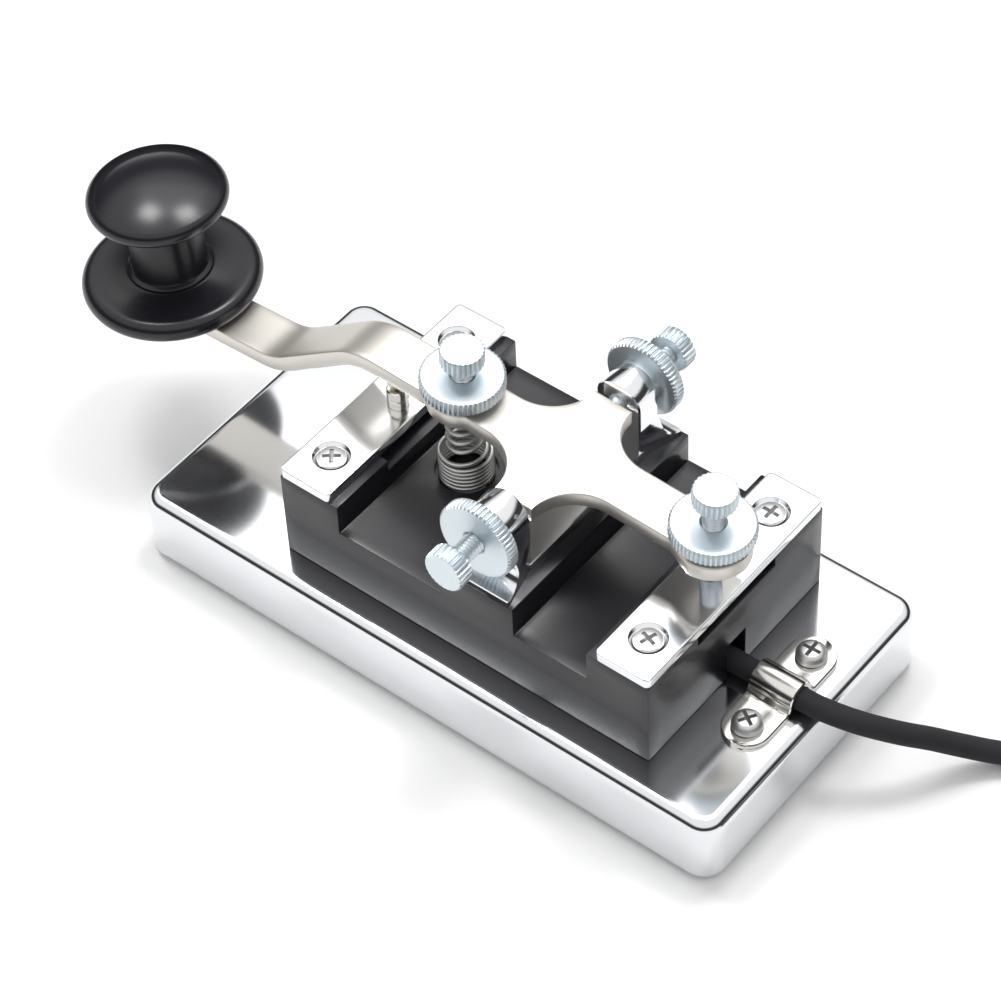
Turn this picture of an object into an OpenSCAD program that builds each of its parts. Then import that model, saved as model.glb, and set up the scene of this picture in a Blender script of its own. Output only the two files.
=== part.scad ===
// Straight morse key: a sprung lever on a trunnion yoke, on an insulating body and a heavy cast base.
// +X points to the cable, the knob is at -X, +Z is up. The origin is on the table, under the middle
// of the base.

/* [Base] */
// Length of the cast base
base_l = 128; // [114:1:160]
// Width of the cast base
base_w = 63; // [58:1:80]
// Height of the casting alone
base_h = 14; // [12:0.5:20]
// Radius of the four upright corners
base_corner_r = 4.5; // [3.5:0.5:12]
// Radius round the top rim
base_rim_r = 2.2; // [1:0.1:3]
// How far the rubber mat stands below the casting
mat_out = 1.2; // [0.8:0.1:2]
// Distance of the mat from the edge of the casting
mat_inset = 6; // [4:0.5:8]

/* [Body] */
// Length of the insulating body
body_l = 80; // [78:1:92]
// Width of the insulating body
body_w = 50; // [49.6:0.2:56]
// Height of the three towers above the base
tower_h = 19.2; // [17:0.2:24]
// Height of the two pocket floors above the base
pocket_h = 12.7; // [12:0.1:13.6]
// Length of the front and rear towers along the key
end_tower_l = 13; // [12.4:0.2:16]
// Length of the middle tower along the key
mid_tower_l = 16; // [15:0.5:18]
// Outer wall of the hollow underside
body_wall = 3; // [2:0.5:3]
// Height of the hollow underside
hollow_h = 8.5; // [8:0.5:9.5]
// Free base behind the body, for the cable clamp
rear_margin = 17.5; // [15:0.5:20]

/* [Contact plates] */
// Length of a contact plate along the key
plate_l = 11.2; // [10:0.2:11.4]
// Thickness of a contact plate
plate_t = 2; // [1.6:0.1:2.6]
// Distance of a plate screw from the middle line
plate_screw_y = 17.4; // [15:0.2:19]
// Head diameter of a plate screw
plate_screw_d = 6; // [5:0.1:6.4]

/* [Lever] */
// Thickness of the lever
lever_t = 3.2; // [2.6:0.1:3.6]
// Height of the pivot line above the tower tops
pivot_h = 11.5; // [10.5:0.1:14]
// Pivot line to the front end of the body
pivot_from_front = 43.5; // [42.5:0.5:46]
// Width of the lever bar
bar_w = 9.6; // [8:0.2:11]
// Tip-to-tip length of the trunnion arms
arm_span = 28; // [26:0.5:29]
// Width of a trunnion arm at its end
arm_w = 7.8; // [7:0.2:9]
// Pivot to the spring screw
spring_arm = 22; // [21:0.5:24]
// Pivot to the gap screw
gap_arm = 31.2; // [30:0.2:34]
// Pivot to the working contact
contact_arm = 37.2; // [36:0.2:39]
// Pivot to the knob
knob_arm = 89.7; // [84:0.1:100]
// Drop from the upper level to the end of the lower bend
lever_drop = 15.5; // [13:0.1:17]
// Angle of the slope between the two levels
lever_slope = 38.5; // [34:0.5:42]
// Downward tilt of the front end, which the knob stands on
end_tilt = 5.5; // [2:0.5:8]
// Tilt of the whole lever at rest, its front up and its rear on the gap screw
rest_tilt = 2.5; // [1:0.1:3]

/* [Adjusters] */
// Thread diameter of the four thumb screws
thread_d = 4; // [3.6:0.1:4.4]
// Head diameter of a thumb screw
head_d = 8; // [7:0.2:9]
// Head height of a thumb screw
head_h = 3.3; // [2.6:0.1:4]
// Diameter of a lock nut
nut_d = 15.2; // [13:0.2:16]
// Thickness of a lock nut
nut_t = 2.8; // [2:0.1:3.2]
// Height of the collar on the seat side of a lock nut
collar_h = 1.2; // [0.8:0.1:1.8]
// Thread showing between a lock nut and its screw head
thread_out = 5; // [4:0.1:6]
// Thread showing above the lock nut of the spring screw
spring_thread_out = 3; // [2.4:0.1:4.4]

/* [Yoke] */
// Inner gap between the two uprights
yoke_gap = 30.4; // [29.6:0.2:31]
// Width over the two bosses
boss_span = 41; // [40:0.5:43]
// Width over the two feet
yoke_span = 49; // [47:0.5:49.4]
// Diameter of a boss
boss_d = 9.4; // [8.6:0.2:10.4]
// Thickness of the yoke floor
yoke_floor_t = 1.5; // [1.2:0.1:2.4]
// Width of the feet along the key
yoke_foot_l = 14.4; // [12:0.2:14.6]

/* [Spring] */
// Outer diameter of the wide coil
spring_wide_d = 10.2; // [9.4:0.1:10.8]
// Outer diameter of the narrow coil
spring_narrow_d = 6.8; // [6:0.1:7.4]
// Wire thickness
wire_d = 0.8; // [0.6:0.05:1]
// Height of the wide coil
spring_wide_h = 6.6; // [5:0.1:8]
// Depth of the round seat in the pocket floor
seat_deep = 1; // [0.6:0.1:1.4]

/* [Contacts] */
// Diameter of the lower contact
low_contact_d = 4; // [3.6:0.1:4.6]
// Height of the lower contact over its plate
low_contact_h = 3.1; // [2.6:0.1:3.6]
// Diameter of the upper contact
up_contact_d = 3.2; // [2.8:0.1:3.8]
// Air gap between the contacts at rest
contact_gap = 0.5; // [0.3:0.05:0.7]

/* [Knob] */
// Diameter of the finger flange
flange_d = 33.4; // [30:0.2:38]
// Thickness of the finger flange
flange_t = 4.6; // [4:0.1:6]
// Diameter of the domed top
dome_d = 26; // [22:0.5:30]
// Height of the knob
knob_h = 25.6; // [23:0.2:30]
// Diameter of the neck
neck_d = 14; // [12:0.5:16]

/* [Cable and clamp] */
// Diameter of the cable
cable_d = 4.2; // [4:0.1:4.4]
// Width of the clamp strap
clamp_w = 9; // [8:0.5:10]
// Thickness of the clamp strap
clamp_t = 1; // [0.8:0.1:1.2]
// Distance of a clamp screw from the middle line
clamp_screw_y = 9.4; // [9:0.1:11]
// Mean radius of the stored coil
coil_r = 25; // [22:0.5:25]
// Length of the plug's grip
plug_grip_l = 22; // [18:0.5:24]
// Diameter of the plug's grip
plug_grip_d = 8; // [7:0.2:9]

/* [Fits] */
// Radial clearance of a screw or stud in its hole
fit = 0.05; // [0.02:0.01:0.08]
// Gap between faces that rest on each other across a joint
rest_gap = 0.02; // [0.01:0.01:0.04]
// Radial clearance of a plain clearance hole
slack = 0.2; // [0.1:0.05:0.3]

/* [Hidden] */
$fn = 72;
eps = 0.01;

// levels
base_top = mat_out + base_h;
tower_top = base_top + tower_h;
pocket_z = base_top + pocket_h;
hollow_z = base_top + hollow_h;
plate_top = tower_top + plate_t;
pivot_z = tower_top + pivot_h;

// stations along the key
body_x1 = base_l / 2 - rear_margin;
body_x0 = body_x1 - body_l;
pivot_x = body_x0 + pivot_from_front;
contact_x = pivot_x - contact_arm;
shoulder_t = -lever_t / 2 - 3.3;
spring_x = pivot_x - spring_arm * cos(rest_tilt) + shoulder_t * sin(rest_tilt);
spring_top = pivot_z + spring_arm * sin(rest_tilt) + shoulder_t * cos(rest_tilt)
    - thread_d / 2 * sin(rest_tilt) - rest_gap;
front_plate_x = body_x0 + plate_l / 2;
rear_plate_x = body_x1 - plate_l / 2;
clamp_x = body_x1 + rear_margin / 2 + 0.35;
clamp_end = clamp_x + clamp_w / 2;

// screws of the assembly
m3_r = 1.5;
m3_head_r = 2.8;
m3_head_h = 2.2;
body_screw_x = [body_x0 + 9, body_x1 - 9];
body_screw_y = body_w / 2 - 9;
yoke_screw_y = body_w / 2 - body_wall - m3_head_r - 0.4;
boss_r = 4;
body_screw_deep = 4;
mat_pocket = 1;
mat_corner_r = 5;

// shape details
plate_corner_r = 1;
notch_w = 22;
notch_deep = 4.4;
notch_h = 2.4;
slot_w = cable_d + 1;
slot_h = cable_d + 4.4;
rear_end_r = 7;
flare_r = (yoke_span - boss_span) / 2;
flare_top = flare_r + 1;
yoke_floor_l = boss_d + 0.6;
lobe_r = 6.4;
front_fillet = arm_span / 2 - bar_w / 2;
cone_l = 2.6;
cone_r = 1.3;
cone_tip_r = 0.25;
collar_r = boss_d / 2 - 0.3;
spigot_r = 1;
spigot_l = 2;
pin_r = 1.2;
pin_l = 2;
spring_seat_z = pocket_z - seat_deep;
stud_end = hollow_z - 4.5;

// ---- small helpers -------------------------------------------------------------------------

// Rectangle with round corners, centred
module round_rect(l, w, r) {
    square([l - 2 * r, w], center = true);
    square([l, w - 2 * r], center = true);
    for (x = [-1, 1], y = [-1, 1]) translate([x * (l / 2 - r), y * (w / 2 - r)]) circle(r);
}

// Cross slot of a screw head, cut down from z = 0
module cross_slot(size, deep) {
    for (a = [45, 135]) rotate(a) translate([-size / 2, -size / 8, -deep])
        cube([size, size / 4, deep + 1]);
}

// Screw along +Z: a pan head from z = 0 up, and a shank going down
module pan_screw(head_r, pan_h, shank_r, shank_l) {
    difference() {
        union() {
            cylinder(h = pan_h, r = head_r);
            translate([0, 0, -shank_l]) cylinder(h = shank_l + eps, r = shank_r);
        }
        translate([0, 0, pan_h]) cross_slot(head_r * 1.2, pan_h * 0.55);
    }
}

// Thumb screw along +Z: the head's underside is at z = 0, the thread goes down, end is its lower end
module thumb_screw(shank_l) {
    cylinder(h = head_h, r = head_d / 2);
    translate([0, 0, -shank_l]) cylinder(h = shank_l + eps, r = thread_d / 2);
}

// Lock nut along +Z, its seat at z = 0, with a collar on the seat side
module lock_nut() {
    difference() {
        union() {
            translate([0, 0, collar_h]) cylinder(h = nut_t, r = nut_d / 2);
            cylinder(h = collar_h + eps, r = collar_r);
        }
        translate([0, 0, -1]) cylinder(h = collar_h + nut_t + 2, r = thread_d / 2 + fit);
    }
}

// Tube of radius r along points p: a ring of n corners square to the path at each point
function unit(v) = v / norm(v);
function heading(p, i) = unit(p[min(i + 1, len(p) - 1)] - p[max(i - 1, 0)]);
function side_of(t) = let (h = cross([0, 0, 1], t)) norm(h) > 0.05 ? unit(h) : [0, 1, 0];
function ring(p, i, r, n) =
    let (t = heading(p, i), s = side_of(t), u = cross(t, s))
    [for (k = [0 : n - 1]) p[i] + r * cos(360 * k / n) * s + r * sin(360 * k / n) * u];
module tube(p, r, n) {
    m = len(p);
    points = [for (i = [0 : m - 1]) each ring(p, i, r, n)];
    walls = [for (i = [0 : m - 2], k = [0 : n - 1])
        [i * n + k, i * n + (k + 1) % n, (i + 1) * n + (k + 1) % n, (i + 1) * n + k]];
    start_cap = [[for (k = [n - 1 : -1 : 0]) k]];
    end_cap = [[for (k = [0 : n - 1]) (m - 1) * n + k]];
    faces = concat(walls, start_cap, end_cap);
    polyhedron(points, [for (face = faces) [for (k = [len(face) - 1 : -1 : 0]) face[k]]]);
}

// Points between the points of a route, on a smooth curve through them
function spot(p, i) = p[max(0, min(len(p) - 1, i))];
function blend(a, b, c, d, t) =
    0.5 * (2 * b + (c - a) * t + (2 * a - 5 * b + 4 * c - d) * t * t + (3 * b - a - 3 * c + d) * t * t * t);
function smooth(p, n) = concat(
    [for (i = [0 : len(p) - 2], k = [0 : n - 1])
        blend(spot(p, i - 1), spot(p, i), spot(p, i + 1), spot(p, i + 2), k / n)],
    [p[len(p) - 1]]);

// ---- base and body -------------------------------------------------------------------------

// Section of the casting's edge, from the corner centre outwards
module rim_section() {
    square([base_corner_r - base_rim_r, base_h]);
    square([base_corner_r, base_h - base_rim_r]);
    translate([base_corner_r - base_rim_r, base_h - base_rim_r]) circle(base_rim_r);
}

module base_solid() {
    flat_l = base_l - 2 * base_corner_r;
    flat_w = base_w - 2 * base_corner_r;
    translate([-flat_l / 2, -flat_w / 2, 0]) cube([flat_l, flat_w, base_h]);
    for (x = [0, 1]) mirror([x, 0, 0]) translate([flat_l / 2, flat_w / 2, 0])
        rotate([90, 0, 0]) linear_extrude(flat_w) rim_section();
    for (y = [0, 1]) mirror([0, y, 0]) translate([-flat_l / 2, flat_w / 2, 0])
        rotate([90, 0, 90]) linear_extrude(flat_l) rim_section();
    for (x = [0, 1], y = [0, 1]) mirror([x, 0, 0]) mirror([0, y, 0])
        translate([flat_l / 2, flat_w / 2, 0]) intersection() {
            rotate_extrude() rim_section();
            cube(base_corner_r + base_h);
        }
}

module base_plate() {
    color("gainsboro") translate([0, 0, mat_out]) difference() {
        base_solid();
        for (x = body_screw_x, y = [-1, 1] * body_screw_y) translate([x, y, -1]) {
            cylinder(h = base_h + 2, r = m3_r + slack);
            cylinder(h = 1 + body_screw_deep, r = m3_head_r + slack);
        }
        translate([0, 0, -1]) linear_extrude(1 + mat_pocket)
            round_rect(base_l - 2 * mat_inset + 2 * fit, base_w - 2 * mat_inset + 2 * fit, mat_corner_r);
        for (y = [-1, 1] * clamp_screw_y) translate([clamp_x, y, base_h - 8])
            cylinder(h = 9, r = m3_r + fit);
    }
}

// Flat mat let into the underside, over the heads of the body screws
module rubber_mat() {
    color("dimgray") linear_extrude(mat_out + mat_pocket)
        round_rect(base_l - 2 * mat_inset, base_w - 2 * mat_inset, mat_corner_r);
}

module tower(x, l) {
    translate([x - l / 2, -body_w / 2, base_top]) cube([l, body_w, tower_h]);
}

module body_block() {
    color([0.06, 0.06, 0.07]) difference() {
        union() {
            translate([body_x0, -body_w / 2, base_top]) cube([body_l, body_w, pocket_h]);
            tower(body_x0 + end_tower_l / 2, end_tower_l);
            tower(pivot_x, mid_tower_l);
            tower(body_x1 - end_tower_l / 2, end_tower_l);
        }
        // hollow underside, with four screw bosses left standing
        difference() {
            translate([body_x0 + body_wall, -body_w / 2 + body_wall, base_top - 1])
                cube([body_l - 2 * body_wall, body_w - 2 * body_wall, hollow_h + 1]);
            for (x = body_screw_x, y = [-1, 1] * body_screw_y) translate([x, y, base_top - 2])
                cylinder(h = hollow_h + 3, r = boss_r);
        }
        for (x = body_screw_x, y = [-1, 1] * body_screw_y) translate([x, y, base_top - 1])
            cylinder(h = 10, r = m3_r + fit);
        // recesses under the plates, open to the rear
        for (x = [body_x0 + end_tower_l, body_x1])
            translate([x - notch_deep, -notch_w / 2, tower_top - notch_h])
                cube([notch_deep + 1, notch_w, notch_h + 1]);
        // cable slot in the rear wall
        translate([body_x1 - body_wall - 1, -slot_w / 2, base_top - 1])
            cube([body_wall + 2, slot_w, slot_h + 1]);
        // spring seat
        translate([spring_x, 0, spring_seat_z]) cylinder(h = seat_deep + 1, r = spring_wide_d / 2 + 0.7);
        // stud hole, plate screw holes and yoke screw holes
        translate([contact_x, 0, hollow_z - 1]) cylinder(h = tower_h, r = m3_r + slack);
        for (x = [front_plate_x, rear_plate_x], y = [-1, 1] * plate_screw_y) translate([x, y, tower_top - 8])
            cylinder(h = 9, r = m3_r + fit);
        for (y = [-1, 1] * yoke_screw_y) translate([pivot_x, y, hollow_z - 1])
            cylinder(h = tower_h, r = m3_r + slack);
    }
}

module body_screws() {
    color("silver") for (x = body_screw_x, y = [-1, 1] * body_screw_y)
        translate([x, y, mat_out + body_screw_deep]) mirror([0, 0, 1])
            pan_screw(m3_head_r, m3_head_h, m3_r, base_h - body_screw_deep + 8);
}

// ---- contact plates and their screws ---------------------------------------------------------

module contact_plate(x) {
    cone_h = plate_screw_d / 2 - m3_r;
    translate([x, 0, tower_top]) difference() {
        linear_extrude(plate_t) round_rect(plate_l, body_w, plate_corner_r);
        for (y = [-1, 1] * plate_screw_y) translate([0, y, 0]) {
            translate([0, 0, -1]) cylinder(h = plate_t + 2, r = m3_r + slack);
            translate([0, 0, plate_t - cone_h - 0.3])
                cylinder(h = cone_h, r1 = m3_r + slack, r2 = plate_screw_d / 2 + slack);
            translate([0, 0, plate_t - 0.3 - eps]) cylinder(h = 1, r = plate_screw_d / 2 + slack);
        }
    }
}

module front_plate() {
    color("whitesmoke") difference() {
        contact_plate(front_plate_x);
        translate([contact_x, 0, tower_top - 1]) cylinder(h = plate_t + 2, r = m3_r + fit);
    }
}

module rear_plate() {
    color("whitesmoke") contact_plate(rear_plate_x);
}

module plate_screws() {
    cone_h = plate_screw_d / 2 - m3_r;
    color("silver") for (x = [front_plate_x, rear_plate_x], y = [-1, 1] * plate_screw_y)
        translate([x, y, plate_top - 0.3]) difference() {
            union() {
                translate([0, 0, -cone_h]) cylinder(h = cone_h, r1 = m3_r, r2 = plate_screw_d / 2);
                cylinder(h = 0.4, r = plate_screw_d / 2);
                translate([0, 0, -8]) cylinder(h = 8 - cone_h + eps, r = m3_r);
            }
            translate([0, 0, 0.4]) cross_slot(plate_screw_d * 0.55, 1.2);
        }
}

// ---- yoke ------------------------------------------------------------------------------------

// One upright seen along the key: straight inside, a hollow curve down to an upright foot outside
module upright_section() {
    translate([yoke_gap / 2, 0]) square([(boss_span - yoke_gap) / 2, pivot_h + boss_d / 2]);
    difference() {
        translate([boss_span / 2 - eps, 0]) square([(yoke_span - boss_span) / 2 + eps, flare_top]);
        translate([boss_span / 2 + flare_r, flare_top]) circle(flare_r);
    }
}

// One upright seen along the pivot line: a round boss on a plain waist
module boss_section() {
    translate([0, pivot_h]) circle(boss_d / 2);
    translate([-boss_d / 2, 0]) square([boss_d, pivot_h]);
}

// The foot seen along the pivot line, and seen from above: both widen to the outside
module foot_section() {
    half = yoke_foot_l / 2;
    polygon([[-half, 0], [half, 0], [half, 1.5], [boss_d / 2, 7], [-boss_d / 2, 7], [-half, 1.5]]);
}
module foot_plan() {
    half = yoke_foot_l / 2;
    polygon([
        [-boss_d / 2, yoke_gap / 2], [boss_d / 2, yoke_gap / 2],
        [half, yoke_span / 2 + 1], [-half, yoke_span / 2 + 1]
    ]);
}

module section_along_key() {
    translate([-yoke_foot_l, 0, 0]) rotate([90, 0, 90]) linear_extrude(2 * yoke_foot_l) upright_section();
}
module section_along_pivot() {
    translate([0, yoke_span, 0]) rotate([90, 0, 0]) linear_extrude(2 * yoke_span) children();
}

module upright() {
    intersection() {
        section_along_key();
        section_along_pivot() boss_section();
    }
    intersection() {
        section_along_key();
        section_along_pivot() foot_section();
        linear_extrude(20) foot_plan();
    }
}

module yoke() {
    color("gainsboro") translate([pivot_x, 0, tower_top]) difference() {
        union() {
            translate([-yoke_floor_l / 2, -yoke_gap / 2 - 1, 0])
                cube([yoke_floor_l, yoke_gap + 2, yoke_floor_t]);
            for (y = [0, 1]) mirror([0, y, 0]) upright();
        }
        translate([0, yoke_span, pivot_h]) rotate([90, 0, 0])
            cylinder(h = 2 * yoke_span, r = thread_d / 2 + fit);
        for (y = [-1, 1] * yoke_screw_y) translate([0, y, -1]) cylinder(h = 6, r = m3_r + fit);
    }
}

module yoke_screws() {
    // the near screw also holds a solder tag under its head
    color("silver") for (side = [-1, 1]) {
        seat_z = side < 0 ? hollow_z - tag_t : hollow_z;
        translate([pivot_x, side * yoke_screw_y, seat_z]) mirror([0, 0, 1])
            pan_screw(m3_head_r, m3_head_h, m3_r, tower_top - seat_z + 4.5);
    }
}

// ---- lever and what it carries -----------------------------------------------------------------

// Puts its children on the lever: measured from the middle of the pivot line, tilted as at rest
module on_lever() {
    translate([pivot_x, 0, pivot_z]) rotate([0, rest_tilt, 0]) children();
}

// Corner filled between the bar and an arm: a square less a circle of the fillet's radius
module inner_fillet(r) {
    difference() {
        square(r);
        translate([r, r]) circle(r);
    }
}

module lever_plan() {
    translate([-knob_arm, -bar_w / 2]) square([knob_arm + gap_arm, bar_w]);
    translate([-knob_arm, 0]) circle(bar_w / 2);
    translate([-spring_arm, 0]) circle(lobe_r);
    translate([gap_arm, 0]) circle(rear_end_r);
    translate([-arm_w / 2, -arm_span / 2]) square([arm_w, arm_span]);
    for (x = [0, 1], y = [0, 1]) mirror([x, 0]) mirror([0, y])
        translate([arm_w / 2 - eps, bar_w / 2 - eps]) inner_fillet(front_fillet - 0.2);
}

// Side view of the lever: level, an upper bend, a slope, a lower bend, and a tilted front end.
// Each point is set off by o from the middle line, square to it.
bend_r = 12.5;
bend_start = -38;
bend_steps = 8;
slope_l = (lever_drop - bend_r * (1 + cos(end_tilt) - 2 * cos(lever_slope))) / sin(lever_slope);
function up_from(a) = [-sin(a), cos(a)];
function along(a) = [-cos(a), -sin(a)];
upper_centre = [bend_start, -bend_r];
slope_end = upper_centre + bend_r * up_from(lever_slope) + slope_l * along(lever_slope);
lower_centre = slope_end + bend_r * up_from(lever_slope);
bend_end = lower_centre - bend_r * up_from(end_tilt);
front_run = (knob_arm + bend_end[0]) / cos(end_tilt);
knob_foot = bend_end + front_run * along(end_tilt);
function side_line(o) = concat(
    [[gap_arm + 20, o]],
    [for (i = [0 : bend_steps]) upper_centre + (bend_r + o) * up_from(lever_slope * i / bend_steps)],
    [for (i = [bend_steps : -1 : 0]) let (a = end_tilt + (lever_slope - end_tilt) * i / bend_steps)
        lower_centre - (bend_r - o) * up_from(a)],
    [knob_foot + 20 * along(end_tilt) + o * up_from(end_tilt)]);
module lever_side() {
    low = side_line(-lever_t / 2);
    polygon(concat(side_line(lever_t / 2), [for (i = [len(low) - 1 : -1 : 0]) low[i]]));
}

module lever() {
    color("lightgray") on_lever() difference() {
        intersection() {
            translate([0, 0, -lever_drop - 10]) linear_extrude(lever_drop + 20) lever_plan();
            translate([0, arm_span, 0]) rotate([90, 0, 0]) linear_extrude(2 * arm_span) lever_side();
        }
        for (x = [-spring_arm, gap_arm]) translate([x, 0, -lever_t])
            cylinder(h = 2 * lever_t, r = thread_d / 2 + fit);
        translate([-contact_arm, 0, -lever_t / 2 - 1]) cylinder(h = spigot_l + 1, r = spigot_r + fit);
        translate([knob_foot[0], 0, knob_foot[1]]) rotate([0, -end_tilt, 0]) translate([0, 0, -lever_t])
            cylinder(h = 2 * lever_t, r = 2 + slack);
        for (y = [0, 1]) mirror([0, y, 0]) translate([0, arm_span / 2 + eps, 0]) rotate([90, 0, 0])
            cylinder(h = cone_l + eps, r1 = cone_r, r2 = cone_tip_r);
    }
}

module upper_contact() {
    r = up_contact_d / 2;
    tip_t = (plate_top + low_contact_h + contact_gap - pivot_z - (contact_arm - r) * sin(rest_tilt))
        / cos(rest_tilt);
    color("silver") on_lever() translate([-contact_arm, 0, 0]) {
        translate([0, 0, tip_t]) cylinder(h = -lever_t / 2 - tip_t, r = r);
        translate([0, 0, -lever_t / 2 - eps]) cylinder(h = spigot_l, r = spigot_r);
    }
}

// Puts its children on the middle of the lever's front end, square to it
module on_front_end() {
    on_lever() translate([knob_foot[0], 0, knob_foot[1]]) rotate([0, -end_tilt, 0]) children();
}

module knob_section() {
    rim_r = flange_t / 2 - 0.1;
    dome_rim_r = 1.9;
    cap_h = 4;
    rim_z = knob_h - cap_h;
    cap_r = (pow(dome_d / 2, 2) + pow(cap_h, 2)) / (2 * cap_h);
    // flange with a round rim
    square([flange_d / 2 - rim_r, flange_t]);
    translate([flange_d / 2 - rim_r, flange_t / 2]) circle(rim_r);
    // neck on a low step
    square([neck_d / 2, rim_z]);
    square([neck_d / 2 + 0.9, flange_t + 1]);
    // domed top: a round rim under a shallow cap
    translate([0, rim_z - dome_rim_r]) square([dome_d / 2 - dome_rim_r, 2 * dome_rim_r]);
    translate([dome_d / 2 - dome_rim_r, rim_z]) circle(dome_rim_r);
    intersection() {
        translate([0, knob_h - cap_r]) circle(cap_r, $fn = 144);
        translate([0, rim_z]) square([dome_d / 2 - 0.25, cap_h + 1]);
    }
}

module knob() {
    color([0.06, 0.06, 0.07]) on_front_end() translate([0, 0, lever_t / 2]) difference() {
        rotate_extrude() difference() {
            knob_section();
            translate([-100, -50]) square([100, 200]);
        }
        translate([0, 0, -1]) cylinder(h = 11, r = 2 + fit);
    }
}

module knob_screw() {
    color("silver") on_front_end() translate([0, 0, -lever_t / 2]) mirror([0, 0, 1])
        pan_screw(3.8, 2.4, 2, lever_t + 8);
}

// ---- adjusters -------------------------------------------------------------------------------

// Puts its children on the pivot line, their +Z pointing out of the near (-Y) or far (+Y) side
module on_trunnion(side) {
    translate([pivot_x, side * boss_span / 2, pivot_z]) rotate([-90 * side, 0, 0]) children();
}
trunnion_head = collar_h + nut_t + thread_out;
trunnion_reach = trunnion_head + boss_span / 2 - arm_span / 2 - 0.6 - fit;
cone_slope = (cone_r - cone_tip_r) / cone_l;
cone_gap_l = 0.4;

module trunnion_screw(side) {
    color("lightsteelblue") on_trunnion(side) translate([0, 0, trunnion_head]) {
        thumb_screw(trunnion_reach);
        translate([0, 0, -trunnion_reach - 0.6]) cylinder(h = 0.6 + eps, r1 = cone_r, r2 = thread_d / 2);
        translate([0, 0, -trunnion_reach - 0.6 - fit - cone_l + cone_gap_l])
            cylinder(h = cone_l - cone_gap_l + fit + eps, r1 = cone_tip_r + cone_slope * cone_gap_l - fit,
                r2 = cone_r - fit);
    }
}
module near_trunnion_screw() { trunnion_screw(-1); }
module far_trunnion_screw() { trunnion_screw(1); }

module trunnion_nut(side) {
    color("lightsteelblue") on_trunnion(side) translate([0, 0, rest_gap]) lock_nut();
}
module near_lock_nut() { trunnion_nut(-1); }
module far_lock_nut() { trunnion_nut(1); }

// Puts its children on the lever's upper face, x along the lever from the pivot
module on_upper_face(x) {
    on_lever() translate([x, 0, lever_t / 2]) children();
}

module spring_screw() {
    head_t = collar_h + nut_t + spring_thread_out;
    color("lightsteelblue") on_upper_face(-spring_arm) {
        translate([0, 0, head_t]) thumb_screw(head_t + lever_t / 2 - shoulder_t);
        translate([0, 0, shoulder_t - lever_t / 2 - pin_l]) cylinder(h = pin_l + eps, r = pin_r);
    }
}

module spring_lock_nut() {
    color("lightsteelblue") on_upper_face(-spring_arm) translate([0, 0, rest_gap]) lock_nut();
}

// Its lower end stands on the rear plate at rest
module gap_screw() {
    head_t = collar_h + nut_t + thread_out;
    tip_t = (plate_top + rest_gap - pivot_z + (gap_arm + thread_d / 2) * sin(rest_tilt)) / cos(rest_tilt);
    color("lightsteelblue") on_upper_face(gap_arm) translate([0, 0, head_t])
        thumb_screw(head_t + lever_t / 2 - tip_t);
}

module gap_lock_nut() {
    color("lightsteelblue") on_upper_face(gap_arm) translate([0, 0, rest_gap]) lock_nut();
}

// Outer form of the two-diameter coil spring: a sleeve with a step and a top ring
module return_spring() {
    wide = spring_wide_d / 2;
    narrow = spring_narrow_d / 2;
    top = spring_top - spring_seat_z;
    color("silver") translate([spring_x, 0, spring_seat_z]) rotate_extrude() polygon([
        [wide - wire_d, 0], [wide, 0], [wide, spring_wide_h], [narrow, spring_wide_h + wire_d * 2],
        [narrow, top], [pin_r + 0.3, top], [pin_r + 0.3, top - wire_d], [narrow - wire_d, top - wire_d],
        [narrow - wire_d, spring_wide_h + wire_d], [wide - wire_d, spring_wide_h - wire_d]
    ]);
}

// ---- lower contact, its nut, and the wiring in the hollow ------------------------------------------

module lower_contact() {
    color("silver") translate([contact_x, 0, 0]) {
        translate([0, 0, plate_top]) cylinder(h = low_contact_h, r = low_contact_d / 2);
        translate([0, 0, stud_end]) cylinder(h = plate_top - stud_end + eps, r = m3_r);
    }
}

tag_t = 0.6;
contact_nut_h = 2.4;
module contact_nut() {
    color("silver") translate([contact_x, 0, hollow_z - tag_t - contact_nut_h]) difference() {
        cylinder(h = contact_nut_h, r = 3.2, $fn = 6);
        translate([0, 0, -1]) cylinder(h = contact_nut_h + 2, r = m3_r + fit);
    }
}

// Ring with a tail that points to the cable, its top at z = 0
module solder_tag() {
    translate([0, 0, -tag_t]) difference() {
        union() {
            cylinder(h = tag_t, r = 2.6);
            translate([0, -1.2, 0]) cube([7, 2.4, tag_t]);
        }
        translate([0, 0, -1]) cylinder(h = tag_t + 2, r = m3_r + fit);
    }
}

module solder_tags() {
    color("gold") {
        translate([contact_x, 0, hollow_z]) solder_tag();
        translate([pivot_x, -yoke_screw_y, hollow_z]) solder_tag();
    }
}

cable_z = base_top + cable_d / 2;
inner_start = body_x1 - body_wall - 3;
wire_r = 0.55;
wire_end_z = hollow_z - tag_t - wire_r;

module line_wire() {
    color("firebrick") tube(smooth([
        [inner_start, 0.9, cable_z], [inner_start - 8, 1.6, cable_z], [inner_start - 22, 4, cable_z],
        [contact_x + 24, 4, cable_z], [contact_x + 13, 0.5, wire_end_z - 1], [contact_x + 8, 0, wire_end_z],
        [contact_x + 4, 0, wire_end_z]
    ], 3), wire_r, 8);
}

module frame_wire() {
    y = -yoke_screw_y;
    color("darkslategray") tube(smooth([
        [inner_start, -0.9, cable_z], [inner_start - 7, -2, cable_z], [inner_start - 13, -8, cable_z],
        [pivot_x + 14, y + 3, wire_end_z - 1], [pivot_x + 8, y, wire_end_z], [pivot_x + 4, y, wire_end_z]
    ], 3), wire_r, 8);
}

// ---- cable, clamp, coil and plug ----------------------------------------------------------------

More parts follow.
